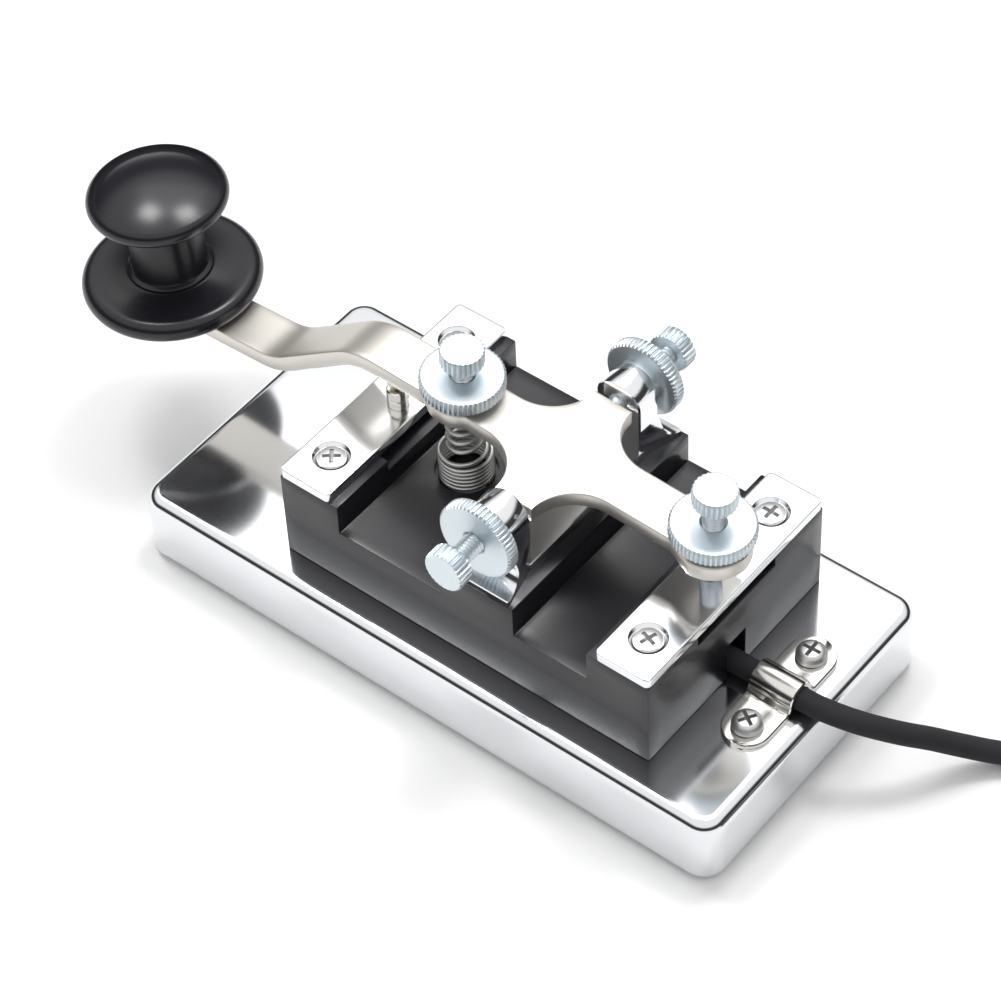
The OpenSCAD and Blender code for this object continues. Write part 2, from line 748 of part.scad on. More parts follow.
module clamp_section() {
    hump_r = cable_d / 2 + fit + clamp_t;
    difference() {
        union() {
            translate([0, cable_d / 2]) circle(hump_r);
            translate([-hump_r, 0]) square([2 * hump_r, cable_d / 2]);
            translate([-clamp_screw_y, 0]) square([2 * clamp_screw_y, clamp_t]);
        }
        translate([0, cable_d / 2]) circle(cable_d / 2 + fit);
        translate([-cable_d / 2 - fit, -5]) square([cable_d + 2 * fit, 5 + cable_d / 2]);
        translate([-20, -10]) square([40, 10]);
    }
}

module cable_clamp() {
    color("silver") translate([clamp_x, 0, base_top]) difference() {
        union() {
            translate([-clamp_w / 2, 0, 0]) rotate([90, 0, 90]) linear_extrude(clamp_w) clamp_section();
            for (y = [-1, 1] * clamp_screw_y) translate([0, y, 0]) cylinder(h = clamp_t, r = clamp_w / 2);
        }
        for (y = [-1, 1] * clamp_screw_y) translate([0, y, -1]) cylinder(h = clamp_t + 2, r = m3_r + slack);
    }
}

module clamp_screws() {
    color("silver") for (y = [-1, 1] * clamp_screw_y) translate([clamp_x, y, base_top + clamp_t])
        pan_screw(m3_head_r, 2, m3_r, 7);
}

module inner_cable() {
    color([0.08, 0.08, 0.08]) translate([inner_start, 0, cable_z]) rotate([0, 90, 0])
        cylinder(h = clamp_end - inner_start, r = cable_d / 2);
}

// Route of the free cable: out of the clamp, over the edge of the base, down to the table, and on
// to the outer turn of the coil
coil_z = 0.85;
turn_z = coil_z + cable_d / 2;
coil_at = [clamp_end + 75.5, 15.9, coil_z];
cable_route = [
    [clamp_end, 0, cable_z], [clamp_end + 4.5, 0.4, 17.1], [clamp_end + 10.3, 2.8, 15.5],
    [clamp_end + 15.5, 7.4, 12], [clamp_end + 19, 11.5, 9], [clamp_end + 22.8, 15.6, 5.8],
    [clamp_end + 28.3, 20.2, 3.1], [clamp_end + 35.4, 25.3, 2.2], [clamp_end + 43.9, 30.7, 2.3],
    [clamp_end + 52.4, 36.1, 2.7], [clamp_end + 60.9, 41.2, turn_z]
];
module cable() {
    color([0.08, 0.08, 0.08]) tube(smooth(cable_route, 3), cable_d / 2, 10);
}

// Six turns, three wide and two high, as the closed ring that they fill
module cable_coil() {
    color([0.08, 0.08, 0.08]) translate(coil_at) rotate_extrude()
        translate([coil_r - 1.5 * cable_d, 0]) square([3 * cable_d, 2 * cable_d]);
}

// From the upper turn up and over the coil to the plug, measured from the middle of the coil
plug_z = 2 * cable_d + plug_grip_d / 2;
plug_from = [19, -11.1, plug_z];
plug_heading = 215;
tail_route = [
    [23.9, 16.7, 6.3], [26.3, 12.1, 7.4], [27.5, 7, 9], [27.3, 1.8, 10.4],
    [25.6, -3.2, 11.6], [22.9, -7.6, 12.2], plug_from
];
module cable_tail() {
    color([0.08, 0.08, 0.08]) translate(coil_at) tube(smooth(tail_route, 3), cable_d / 2, 10);
}

// Flat strap round the coil's section
tie_at = 190;
tie_w = 7;
tie_t = 0.8;
tie_room = 0.4;
module coil_tie() {
    width = 3 * cable_d;
    height = 2 * cable_d;
    color("gray") translate(coil_at) rotate(tie_at) translate([coil_r, tie_w / 2, 0]) rotate([90, 0, 0])
        linear_extrude(tie_w) difference() {
            translate([-width / 2 - tie_room - tie_t, -tie_t])
                square([width + 2 * tie_room + 2 * tie_t, height + 2 * tie_t]);
            translate([-width / 2 - tie_room, 0]) square([width + 2 * tie_room, height]);
        }
}

// Puts its children on the plug's line: +Z points from the cable to the tip
module on_plug() {
    translate(coil_at + plug_from) rotate([90, 0, plug_heading + 90]) children();
}
plug_shaft_r = 1.75;
plug_sleeve_l = 9;
plug_ring_l = 0.8;
plug_tip_l = 4.4;

module plug_grip() {
    taper_l = 7;
    color([0.08, 0.08, 0.08]) on_plug() {
        cylinder(h = taper_l, r1 = cable_d / 2 + 0.8, r2 = plug_grip_d / 2);
        translate([0, 0, taper_l]) cylinder(h = plug_grip_l - taper_l, r = plug_grip_d / 2);
    }
}

module plug_sleeve() {
    color("silver") on_plug() translate([0, 0, plug_grip_l]) cylinder(h = plug_sleeve_l, r = plug_shaft_r);
}

module plug_ring() {
    color([0.08, 0.08, 0.08]) on_plug() translate([0, 0, plug_grip_l + plug_sleeve_l])
        cylinder(h = plug_ring_l, r = plug_shaft_r);
}

// Tip with a waist and a blunt point
module plug_tip() {
    r = plug_shaft_r;
    color("silver") on_plug() translate([0, 0, plug_grip_l + plug_sleeve_l + plug_ring_l])
        rotate_extrude() polygon([
            [0, 0], [r, 0], [r, 0.8], [r - 0.5, 1.5], [r - 0.5, 2], [r, 2.7], [r, 3.2],
            [0.5, plug_tip_l], [0, plug_tip_l]
        ]);
}

base_plate();
rubber_mat();
body_block();
body_screws();
front_plate();
rear_plate();
plate_screws();
yoke();
yoke_screws();
lever();
near_trunnion_screw();
far_trunnion_screw();
near_lock_nut();
far_lock_nut();
spring_screw();
spring_lock_nut();
gap_screw();
gap_lock_nut();
return_spring();
upper_contact();
lower_contact();
contact_nut();
solder_tags();
line_wire();
frame_wire();
knob();
knob_screw();
cable_clamp();
clamp_screws();
inner_cable();
cable();
cable_coil();
cable_tail();
coil_tie();
plug_grip();
plug_sleeve();
plug_ring();
plug_tip();
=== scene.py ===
# %% [markdown]
# # A straight morse key
#
# The real object is a small desk instrument. A lever rocks on two cone-pointed screws, a coil spring
# holds its knob end up, and a press closes one contact. A black moulded body carries the metalwork,
# and a chromed casting gives it weight. The CAD model already has every part in its place and the
# joints between them. This script gives each part its real surface: knurls, threads, wound wire,
# rounded rims, and the finishes.
#
# We start by loading that model. What we build has to fit inside it.

# %% Load the model
import math
import bmesh
import bpy
import numpy as np
from mathutils import Matrix, Vector


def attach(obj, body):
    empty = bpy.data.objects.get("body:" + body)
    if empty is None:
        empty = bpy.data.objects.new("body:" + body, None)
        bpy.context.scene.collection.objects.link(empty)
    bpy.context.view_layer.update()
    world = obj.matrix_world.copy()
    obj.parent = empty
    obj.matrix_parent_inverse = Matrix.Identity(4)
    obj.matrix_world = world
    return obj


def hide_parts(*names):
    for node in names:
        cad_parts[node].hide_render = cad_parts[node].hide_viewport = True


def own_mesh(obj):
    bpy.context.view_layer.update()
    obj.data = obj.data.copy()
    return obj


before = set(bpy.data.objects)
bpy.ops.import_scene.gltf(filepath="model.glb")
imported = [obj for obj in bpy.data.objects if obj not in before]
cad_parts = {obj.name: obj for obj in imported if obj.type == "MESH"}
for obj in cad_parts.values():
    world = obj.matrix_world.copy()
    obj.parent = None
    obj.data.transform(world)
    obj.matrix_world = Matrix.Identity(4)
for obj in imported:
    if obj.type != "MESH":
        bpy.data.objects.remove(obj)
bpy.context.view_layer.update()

mm = 0.001

# %% [markdown]
# ## The camera
#
# A long lens from above and to the right makes the edges of the base run almost parallel. A camera
# can be set by angles, or by a turned matrix. The matrix is clearer here: we work out three square
# directions from an azimuth, an elevation and a slight roll, and put them in its columns.

# %% Camera
def aimed_matrix(target, distance, azimuth, elevation, roll):
    """Columns are right, up and back. Back points from the target to the camera; right is level
    before the roll; up is back x right; the roll turns right and up about back."""
    a, e, r = np.radians([azimuth, elevation, roll])
    back = np.array([math.sin(a) * math.cos(e), -math.cos(a) * math.cos(e), math.sin(e)])
    level = np.array([math.cos(a), math.sin(a), 0.0])
    above = np.cross(back, level)
    right = math.cos(r) * level + math.sin(r) * above
    up = np.cross(back, right)
    place = np.array(target) + distance * back
    rows = np.column_stack([right, up, back, place])
    return Matrix([list(row) for row in rows] + [[0, 0, 0, 1]])


camera = bpy.data.objects.new("camera", bpy.data.cameras.new("camera"))
bpy.context.scene.collection.objects.link(camera)
look_at = (-0.0043, -0.0005, 0.0252)
camera.matrix_world = aimed_matrix(look_at, distance=0.6431, azimuth=40.77, elevation=48.34, roll=-3.2)
camera.data.lens = 131.65
camera.data.sensor_width = 36
camera.data.dof.use_dof = False
bpy.context.scene.camera = camera
print("camera at", [round(v, 3) for v in camera.matrix_world.translation])

# %% [markdown]
# ## Making a mesh from a grid
#
# Nearly every part of the key is turned, wound, rolled or bent. Each such surface is a function of
# two numbers, so its points form a grid: one number counts the rows, the other the columns. One
# helper joins neighbouring points with quads, and another puts the arrays into a Blender mesh. It
# also merges a seam's double points, turns all faces outwards, and keeps edges sharp above an angle.

# %% Grid helpers
def quads(rows, cols, wrap_rows=False):
    """Corner numbers of the quads of a rows x cols grid of points. The last column joins the first,
    and so does the last row if it is asked for."""
    r = np.arange(rows if wrap_rows else rows - 1)[:, None]
    c = np.arange(cols)[None, :]
    r2 = (r + 1) % rows
    c2 = (c + 1) % cols
    corners = [r * cols + c, r * cols + c2, r2 * cols + c2, r2 * cols + c]
    return np.stack(corners, -1).reshape(-1, 4).tolist()


def joined(*shapes):
    """Several (points, faces) pairs as one pair, with the faces' numbers shifted along."""
    points = []
    faces = []
    for pts, fcs in shapes:
        shift = sum(len(p) for p in points)
        points.append(np.asarray(pts, float))
        faces += [[i + shift for i in f] for f in fcs]
    return np.concatenate(points), faces


def moved(shape, offset=(0, 0, 0), turn=None):
    """Every point is turned by a 3x3 matrix, then moved."""
    points = np.asarray(shape[0], float)
    if turn is not None:
        points = points @ np.asarray(turn, float).T
    return points + np.asarray(offset, float), shape[1]


def turned(axis, degrees):
    """3x3 matrix of a turn about the x, y or z axis, counter-clockwise seen from its tip."""
    return np.array(Matrix.Rotation(math.radians(degrees), 3, axis.upper()))


def new_mesh_object(name, shape, sharp=35.0):
    """Object at the origin from one (points, faces) pair in millimetres."""
    mesh = bpy.data.meshes.new(name)
    mesh.from_pydata((np.asarray(shape[0]) * mm).tolist(), [], shape[1])
    work = bmesh.new()
    work.from_mesh(mesh)
    bmesh.ops.remove_doubles(work, verts=work.verts, dist=2e-7)
    bmesh.ops.dissolve_degenerate(work, edges=work.edges, dist=1e-7)
    bmesh.ops.recalc_face_normals(work, faces=work.faces)
    work.to_mesh(mesh)
    work.free()
    piece = bpy.data.objects.new(name, mesh)
    bpy.context.scene.collection.objects.link(piece)
    smooth(piece, sharp)
    return piece


def smooth(piece, sharp=35.0):
    """Smooth shading, with edges above this angle kept sharp."""
    piece.data.shade_smooth()
    piece.data.set_sharp_from_angle(angle=math.radians(sharp))


def bake_modifiers(piece):
    """The mesh as its modifiers leave it becomes the piece's own mesh."""
    graph = bpy.context.evaluated_depsgraph_get()
    graph.update()
    mesh = bpy.data.meshes.new_from_object(piece.evaluated_get(graph))
    piece.modifiers.clear()
    piece.data = mesh


def soften(piece, width, segments=2, angle=40.0, sharp=35.0):
    """Rounds each edge sharper than the angle, as a mould or a tumbling barrel does."""
    cut = piece.modifiers.new("edges", "BEVEL")
    cut.width = width * mm
    cut.segments = segments
    cut.limit_method = "ANGLE"
    cut.angle_limit = math.radians(angle)
    cut.use_clamp_overlap = True
    bake_modifiers(piece)
    smooth(piece, sharp)


def carve(piece, *shapes):
    """Takes each closed shape away from the piece."""
    tools = [new_mesh_object("tool_%d" % i, shape) for i, shape in enumerate(shapes)]
    for tool in tools:
        cut = piece.modifiers.new("carve", "BOOLEAN")
        cut.operation = "DIFFERENCE"
        cut.solver = "EXACT"
        cut.object = tool
    bake_modifiers(piece)
    for tool in tools:
        bpy.data.objects.remove(tool)


finishes = {}


def settle(piece, body, slot, *nodes):
    """Says which body the piece rides on, which finish slot it takes, and which nodes it stands for."""
    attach(piece, body)
    finishes[piece.name] = slot
    if nodes:
        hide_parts(*nodes)
    print("%-22s %6d faces on %s" % (piece.name, len(piece.data.polygons), body))
    return piece


# %% [markdown]
# ## Turned, knurled and threaded shapes
#
# A turned part is a profile carried round an axis. We give the profile as radius and height. Knurling
# is the same surface with its radius changed by the angle, so the grooves are real and catch light.
# A thread is a bar whose radius depends on height and angle together: the groove climbs one pitch for
# each turn. Blender's Screw modifier could wind a thread too, but a formula gives clean ends.

# %% Lathe helpers
def arc(r, z, radius, start, end, n=8):
    """Points of a circle's arc round (r, z), from one angle in degrees to another."""
    a = np.radians(np.linspace(start, end, n))
    return [(r + radius * math.cos(t), z + radius * math.sin(t)) for t in a]


def lathe(profile, n=72):
    """Point (i, j) = (r_i cos t_j, r_i sin t_j, z_i)."""
    r, z = np.array(profile, float).T
    t = np.linspace(0, 2 * math.pi, n, endpoint=False)
    x = r[:, None] * np.cos(t)
    y = r[:, None] * np.sin(t)
    h = np.broadcast_to(z[:, None], x.shape)
    return np.stack([x, y, h], -1).reshape(-1, 3), quads(len(r), n)


def knurled(profile, teeth, depth, per_tooth=8, closed=False):
    """As lathe, but the radius loses share x depth x groove(t), and groove is the fourth power of
    cos(teeth t / 2), a narrow valley between broad ridges. The profile holds (r, z, share), and a
    closed one is a ring's section."""
    r, z, share = np.array(profile, float).T
    t = np.linspace(0, 2 * math.pi, teeth * per_tooth, endpoint=False)
    groove = np.cos(teeth * t / 2) ** 4
    radius = r[:, None] - depth * share[:, None] * groove
    height = np.broadcast_to(z[:, None], radius.shape)
    points = np.stack([radius * np.cos(t), radius * np.sin(t), height], -1).reshape(-1, 3)
    return points, quads(len(r), len(t), wrap_rows=closed)


def thread(radius, pitch, low, high, n=36, steps=8):
    """Bar from low to high. Its radius is the outer one less depth x |2 frac(z/pitch - t/2pi) - 1|,
    a V groove, and both ends run in to the root over 0.6 of a pitch and are closed flat."""
    depth = 0.6 * pitch
    z = np.linspace(low, high, int((high - low) / pitch * steps) + 2)
    t = np.linspace(0, 2 * math.pi, n, endpoint=False)
    phase = z[:, None] / pitch - t / (2 * math.pi)
    groove = np.abs(2 * (phase - np.floor(phase)) - 1)
    run_in = 0.6 * pitch
    ends = np.clip(np.minimum(z - low, high - z) / run_in, 0, 1)[:, None]
    r = (radius - depth) + depth * (1 - groove) * ends
    r = np.concatenate([np.zeros((1, n)), r, np.zeros((1, n))])
    z = np.concatenate([[low], z, [high]])
    height = np.broadcast_to(z[:, None], r.shape)
    points = np.stack([r * np.cos(t), r * np.sin(t), height], -1).reshape(-1, 3)
    return points, quads(len(z), n)


def sweep(path, radius, n=12):
    """Tube along a path: at each point a ring of n corners, square to the path. The ring's side
    direction is kept level. A flat cap closes each end."""
    path = np.asarray(path, float)
    ahead = np.gradient(path, axis=0)
    ahead /= np.linalg.norm(ahead, axis=1)[:, None]
    side = np.cross([0.0, 0.0, 1.0], ahead)
    side /= np.maximum(np.linalg.norm(side, axis=1), 1e-9)[:, None]
    over = np.cross(ahead, side)
    t = np.linspace(0, 2 * math.pi, n, endpoint=False)
    ring = side[:, None] * np.cos(t)[None, :, None] + over[:, None] * np.sin(t)[None, :, None]
    points = path[:, None] + radius * ring
    first = np.broadcast_to(path[:1, None], (1, n, 3))
    last = np.broadcast_to(path[-1:, None], (1, n, 3))
    points = np.concatenate([first, points, last])
    return points.reshape(-1, 3), quads(len(points), n)


# %% [markdown]
# ## The cable
#
# The lead is a soft round two-core cable. It leaves the clamp level, drops over the edge of the base,
# and lies on the table. Its spare length is wound flat and tied, as it would be on a shelf, and a
# plug ends it. We repeat the CAD model's route points and pass a smooth curve through them. The coil
# follows from angle alone: the radius steps in by one diameter after each turn, climbs to a second
# layer, and steps out again.

# %% Cable route
cable_d = 4.2
clamp_end = 60.1
cable_z = 17.3
coil_centre = np.array([135.6, 15.9, 0.85])
route = np.array([
    [0, 0, cable_z], [4.5, 0.4, 17.1], [10.3, 2.8, 15.5], [15.5, 7.4, 12], [19, 11.5, 9],
    [22.8, 15.6, 5.8], [28.3, 20.2, 3.1], [35.4, 25.3, 2.2], [43.9, 30.7, 2.3], [52.4, 36.1, 2.7],
    [60.9, 41.2, 2.95],
]) + [clamp_end, 0, 0]
tail = coil_centre + np.array([
    [23.9, 16.7, 6.3], [26.3, 12.1, 7.4], [27.5, 7, 9], [27.3, 1.8, 10.4], [25.6, -3.2, 11.6],
    [22.9, -7.6, 12.2], [19, -11.1, 12.4],
])


def through(points, n):
    """Catmull-Rom curve through the points, with n steps between neighbours."""
    p = np.concatenate([points[:1], points, points[-1:]])
    t = np.arange(n)[:, None] / n
    parts = []
    for a, b, c, d in zip(p[:-3], p[1:-2], p[2:-1], p[3:]):
        cube = 3 * b - a - 3 * c + d
        square = 2 * a - 5 * b + 4 * c - d
        parts.append(0.5 * (2 * b + (c - a) * t + square * t ** 2 + cube * t ** 3))
    return np.concatenate(parts + [points[-1:]])


def coil_path(step=6.0):
    """Radius and height against the angle turned, eased between the turns; then x and y. The turns
    run clockwise."""
    stop = [295, 595, 655, 955, 1015, 1255, 1315, 1555, 1615, 1915, 1975, 2176]
    radius = [29.2, 29.2, 25, 25, 20.8, 20.8, 20.8, 20.8, 25, 25, 29.2, 29.2]
    height = [2.1, 2.1, 2.1, 2.1, 2.1, 2.1, 6.3, 6.3, 6.3, 6.3, 6.3, 6.3]
    a = np.arange(stop[0] + step, stop[-1], step)
    k = np.searchsorted(stop, a, side="right") - 1
    s = (a - np.take(stop, k)) / (np.take(stop, k + 1) - np.take(stop, k))
    s = s * s * (3 - 2 * s)
    r = np.take(radius, k) * (1 - s) + np.take(radius, k + 1) * s
    z = np.take(height, k) * (1 - s) + np.take(height, k + 1) * s
    t = np.radians(55 - a)
    return coil_centre + np.stack([r * np.cos(t), r * np.sin(t), z], -1)


cable_line = np.concatenate([through(route, 3), coil_path(), through(tail, 3)])
cable = new_mesh_object("line_cable", sweep(cable_line, cable_d / 2, n=20))
settle(cable, "key_base", "black_cable", "cable", "cable_coil", "cable_tail")

# %% [markdown]
# ## The plug and the tie
#
# The plug is a small two-pole one: a moulded grip with soft ribs where the cable enters, a metal
# sleeve, an insulating ring and a waisted tip. All are turned shapes on one line, so we make them
# standing up and lay them down with one matrix. The tie is a strap of hook-and-loop tape: a flat
# band round the coil's section, with its end lying over its start.

# %% Plug and tie
heading = math.radians(215)
forward = np.array([math.cos(heading), math.sin(heading), 0])
plug_turn = np.column_stack([np.cross([0, 0, 1], forward), [0, 0, 1], forward])
plug_at = tail[-1]
rib = np.linspace(0, 1, 61)
rib_r = 2.9 + 1.0 * rib - 0.22 * (np.sin(rib * math.pi * 9) ** 2)
grip_profile = [(0, 0)] + list(zip(rib_r, 7 * rib))
grip_profile += [(4.0, 7.3), (4.0, 20.4)] + arc(3.2, 21.2, 0.8, 0, 90, 6) + [(0, 22)]
grip = new_mesh_object("plug_grip_moulded", moved(lathe(grip_profile, 48), plug_at, plug_turn))
sleeve_profile = [(0, 22), (1.6, 22), (1.75, 22.15), (1.75, 30.9), (1.65, 31), (0, 31)]
sleeve = new_mesh_object("plug_sleeve_turned", moved(lathe(sleeve_profile, 40), plug_at, plug_turn))
ring_profile = [(0, 31), (1.72, 31), (1.72, 31.8), (0, 31.8)]
ring = new_mesh_object("plug_ring_moulded", moved(lathe(ring_profile, 40), plug_at, plug_turn))
tip_profile = [(0, 31.8), (1.75, 31.8), (1.75, 32.5), (1.3, 33.2), (1.22, 33.6), (1.3, 33.9)]
tip_profile += [(1.72, 34.5), (1.75, 34.8), (1.62, 35.1), (1.05, 35.8), (0.5, 36.15), (0, 36.2)]
tip = new_mesh_object("plug_tip_turned", moved(lathe(tip_profile, 40), plug_at, plug_turn), 50)
settle(grip, "key_base", "black_plug", "plug_grip")
settle(sleeve, "key_base", "polished_nickel", "plug_sleeve")
settle(ring, "key_base", "black_plug", "plug_ring")
settle(tip, "key_base", "polished_nickel", "plug_tip")


def tie_shape():
    """A closed band: the outline is a rounded rectangle round the coil's section, and each point
    has a thickness outwards. Across the strap the band is 7 wide with slightly thinner edges."""
    coil_half_w, coil_half_h = 6.3, 4.2
    half_w, half_h, r = coil_half_w + 0.42, coil_half_h + 0.2, 1.6
    corners = [(half_w - r, half_h - r, 0), (r - half_w, half_h - r, 90)]
    corners += [(r - half_w, r - half_h, 180), (half_w - r, r - half_h, 270)]
    line = np.concatenate([arc(x, z, r, a, a + 90, 8) for x, z, a in corners])
    nxt = np.roll(line, -1, 0) - np.roll(line, 1, 0)
    out = np.stack([nxt[:, 1], -nxt[:, 0]], -1) / np.linalg.norm(nxt, axis=1)[:, None]
    across = np.array([(-3.5, 0.05), (-3.5, 0.5), (-3.2, 0.62), (3.2, 0.62), (3.5, 0.5), (3.5, 0.05)])
    place = line[:, None] + out[:, None] * across[None, :, 1:]
    y = np.broadcast_to(across[:, 0], place.shape[:2])
    points = np.stack([place[..., 0], y, place[..., 1]], -1).reshape(-1, 3)
    return points, quads(len(line), len(across), wrap_rows=True)


tie_turn = turned("z", 190)
tie_at = coil_centre + tie_turn @ [25, 0, 4.2]
tie = new_mesh_object("coil_tie_strap", moved(tie_shape(), tie_at, tie_turn))
settle(tie, "key_base", "grey_tie", "coil_tie")

# %% [markdown]
# ## The cast base and the moulded body
#
# The casting is a slab whose outline is a rounded rectangle. Its edge is a profile of inset and
# height: for each step we draw the outline again, moved in by that inset. One more ring just inside
# the rim keeps the mirror-flat top truly flat in shading. The body is a box with pockets, so we list
# the cutting planes, ask of each cell between them whether it is solid, and keep the faces between
# a solid cell and an empty one. A small bevel then gives the moulding its edges.

# %% Base and body
base_top = 15.2
tower_top = 34.4
plate_top = 36.4
pivot = np.array([10.0, 0.0, 45.9])
spring_x = -12.193
seat_z = 26.9
plate_x = {"front_plate": -27.9, "rear_plate": 40.9}
plate_screw_y = 17.4


def rounded(hx, hy, r, n=8):
    """Corner arcs of a rounded rectangle, counter-clockwise."""
    corners = [(hx - r, hy - r, 0), (r - hx, hy - r, 90), (r - hx, r - hy, 180), (hx - r, r - hy, 270)]
    return np.concatenate([arc(x, y, r, a, a + 90, n) for x, y, a in corners])


def slab(hx, hy, r, profile, n=8):
    """The outline is drawn once for each (inset, z) of the profile; a flat face closes each end."""
    rings = [np.column_stack([rounded(hx - i, hy - i, max(r - i, 0.05), n), np.full(4 * n, z)])
             for i, z in profile]
    count = 4 * n
    faces = quads(len(rings), count)
    faces += [list(range(count))[::-1], [(len(rings) - 1) * count + k for k in range(count)]]
    return np.concatenate(rings), faces


def cells(xs, ys, zs, solid):
    """Faces of the solid cells of a grid of cutting planes, where the neighbour is empty."""
    corner = {}
    faces = []
    full = {(i, j, k) for i in range(len(xs) - 1) for j in range(len(ys) - 1) for k in range(len(zs) - 1)
            if solid((xs[i] + xs[i + 1]) / 2, (ys[j] + ys[j + 1]) / 2, (zs[k] + zs[k + 1]) / 2)}
    square = [(0, 0), (1, 0), (1, 1), (0, 1)]
    for cell in full:
        for axis in range(3):
            for side in (0, 1):
                near = list(cell)
                near[axis] += 2 * side - 1
                if tuple(near) in full:
                    continue
                face = []
                for u, v in square:
                    at = list(cell)
                    at[axis] += side
                    at[(axis + 1) % 3] += u
                    at[(axis + 2) % 3] += v
                    face.append(corner.setdefault(tuple(at), len(corner)))
                faces.append(face if side else face[::-1])
    return np.array([[xs[i], ys[j], zs[k]] for i, j, k in corner]), faces


rim = [(0.45, 1.2), (0.1, 1.4), (0, 1.8), (0, 2.2), (0, 12.8)]
rim += [(2.2 - 2.2 * math.cos(a), 13 + 2.2 * math.sin(a)) for a in np.radians(np.linspace(0, 90, 9))]
rim += [(2.6, base_top)]
base_half_length, base_half_width, base_corner = 64, 31.5, 4.5
base = new_mesh_object("cast_base", slab(base_half_length, base_half_width, base_corner, rim, 12))
settle(base, "key_base", "chromed_casting", "base_plate")


def in_body(x, y, z):
    """Two pockets between three towers, a hollow underneath, a cable slot, and two notches."""
    tower = -33.5 < x < -20.5 or 2 < x < 18 or 33.5 < x < 46.5
    hollow = -30.5 < x < 43.5 and abs(y) < 22 and z < 23.7
    slot = x > 43.5 and abs(y) < 2.6 and z < 23.7
    notch = (-24.9 < x < -20.5 or x > 42.1) and abs(y) < 11 and z > 32
    return (z < 27.9 or tower) and not (hollow or slot or notch)


body_x = [-33.5, -30.5, -24.9, -20.5, 2, 18, 33.5, 42.1, 43.5, 46.5]
body_y = [-25, -22, -11, -2.6, 2.6, 11, 22, 25]
body_z = [base_top, 23.7, 27.9, 32, tower_top]
body = new_mesh_object("moulded_body", cells(body_x, body_y, body_z, in_body))
soften(body, 0.28, 2)
seat_r = 5.8
seat = lathe([(0, seat_z), (seat_r, seat_z), (seat_r, 29), (0, 29)], 64)
carve(body, moved(seat, (spring_x, 0, 0)))
smooth(body, 30)
settle(body, "key_base", "black_bakelite", "body_block")

# %% [markdown]
# ## The plates and their screws
#
# Each plate is a thin mirror-bright slab with two cone-shaped recesses. The screws are countersunk,
# with a cross recess: a tapered star, taken away with a boolean. We make one screw, then copy its
# mesh to the four places. The pan heads of the cable clamp and the knob come from the same idea.

# %% Plates and cross-recess screws
def cross(reach, half, deep, top):
    """Tapered four-armed star: full size at the top, narrowed and 45% as wide at its depth."""
    arm = [(reach, -half), (reach, half), (half, half)]
    outline = np.array([(x * c - y * s, x * s + y * c) for c, s in ((1, 0), (0, 1), (-1, 0), (0, -1))
                        for x, y in arm])
    levels = [(-deep - 0.25, 0.05), (-deep, 0.45), (top - 0.5, 1.0), (top + 0.5, 1.06)]
    rings = [np.column_stack([outline * k, np.full(12, z)]) for z, k in levels]
    faces = quads(4, 12) + [list(range(12))[::-1], [36 + k for k in range(12)]]
    return np.concatenate(rings), faces


def mesh_shape(piece):
    """The object's mesh as a shape again; the object is removed."""
    points = np.array([v.co[:] for v in piece.data.vertices]) / mm
    faces = [list(f.vertices) for f in piece.data.polygons]
    bpy.data.objects.remove(piece)
    return points, faces


def recessed(profile, reach, half, deep, top):
    """A turned head with a cross recess in it."""
    blank = new_mesh_object("screw_blank", lathe(profile, 48))
    carve(blank, moved(cross(reach, half, deep, top), turn=turned("z", 38)))
    return mesh_shape(blank)


edge_z, edge_r = 36.15, 0.25
plate_rim = [(0.1, tower_top), (0, tower_top + 0.1), (0, edge_z)]
plate_rim += [(edge_r - edge_r * math.cos(a), edge_z + edge_r * math.sin(a))
              for a in np.radians([30, 60, 90])]
plate_rim += [(0.5, plate_top)]
for name, at in plate_x.items():
    plate = new_mesh_object(name + "_bright", moved(slab(5.6, 25, 1, plate_rim), (at, 0, 0)))
    cone = lathe([(0, 34), (1.7, 34), (1.7, 34.7), (3.45, 36.3), (3.5, 37), (0, 37)], 64)
    carve(plate, moved(cone, (at, -plate_screw_y, 0)), moved(cone, (at, plate_screw_y, 0)))
    smooth(plate, 30)
    settle(plate, "key_base", "polished_chrome", name)

flat_head = [(0, -6), (1.5, -6), (1.5, -1.5), (2.6, -0.4), (2.68, -0.2), (2.5, 0.08)]
flat_head += [(2, 0.26), (1.2, 0.36), (0, 0.39)]
flat_head = recessed(flat_head, 1.6, 0.36, 0.9, 0.4)
places = [(x, y, 36.1) for x in plate_x.values() for y in (-plate_screw_y, plate_screw_y)]
screws = [moved(flat_head, at, turned("z", 17 * k)) for k, at in enumerate(places)]
settle(new_mesh_object("plate_screws_cross", joined(*screws), 30), "key_base", "steel", "plate_screws")


def pan_head(r, h, shank, length, recess):
    """Pan head from z = 0 up, with a soft edge, on a short shank."""
    top = arc(r - 0.75 * h, 0.25 * h, 0.75 * h, 0, 80, 7)
    return recessed([(0, -length), (shank, -length), (shank, 0), (r - 0.1, 0), (r, 0.1)] + top + [(0, h)],
                    recess, 0.35, 0.1, h)


# %% [markdown]
# ## The yoke
#
# The yoke is one casting: two uprights with round bosses, standing on feet that flare outwards. Going
# up, each upright's section is a rectangle with chamfered corners, and its half width and its outer
# face both depend on height. So the surface is again a grid of rows and columns. Near the top the
# half width follows the boss's circle, and the rows come closer together there.

# %% Yoke
boss_r, boss_z = 4.7, 11.5
inner_face, outer_face, foot_face = 15.2, 20.5, 24.5
flare_r, flare_top = 4, 5


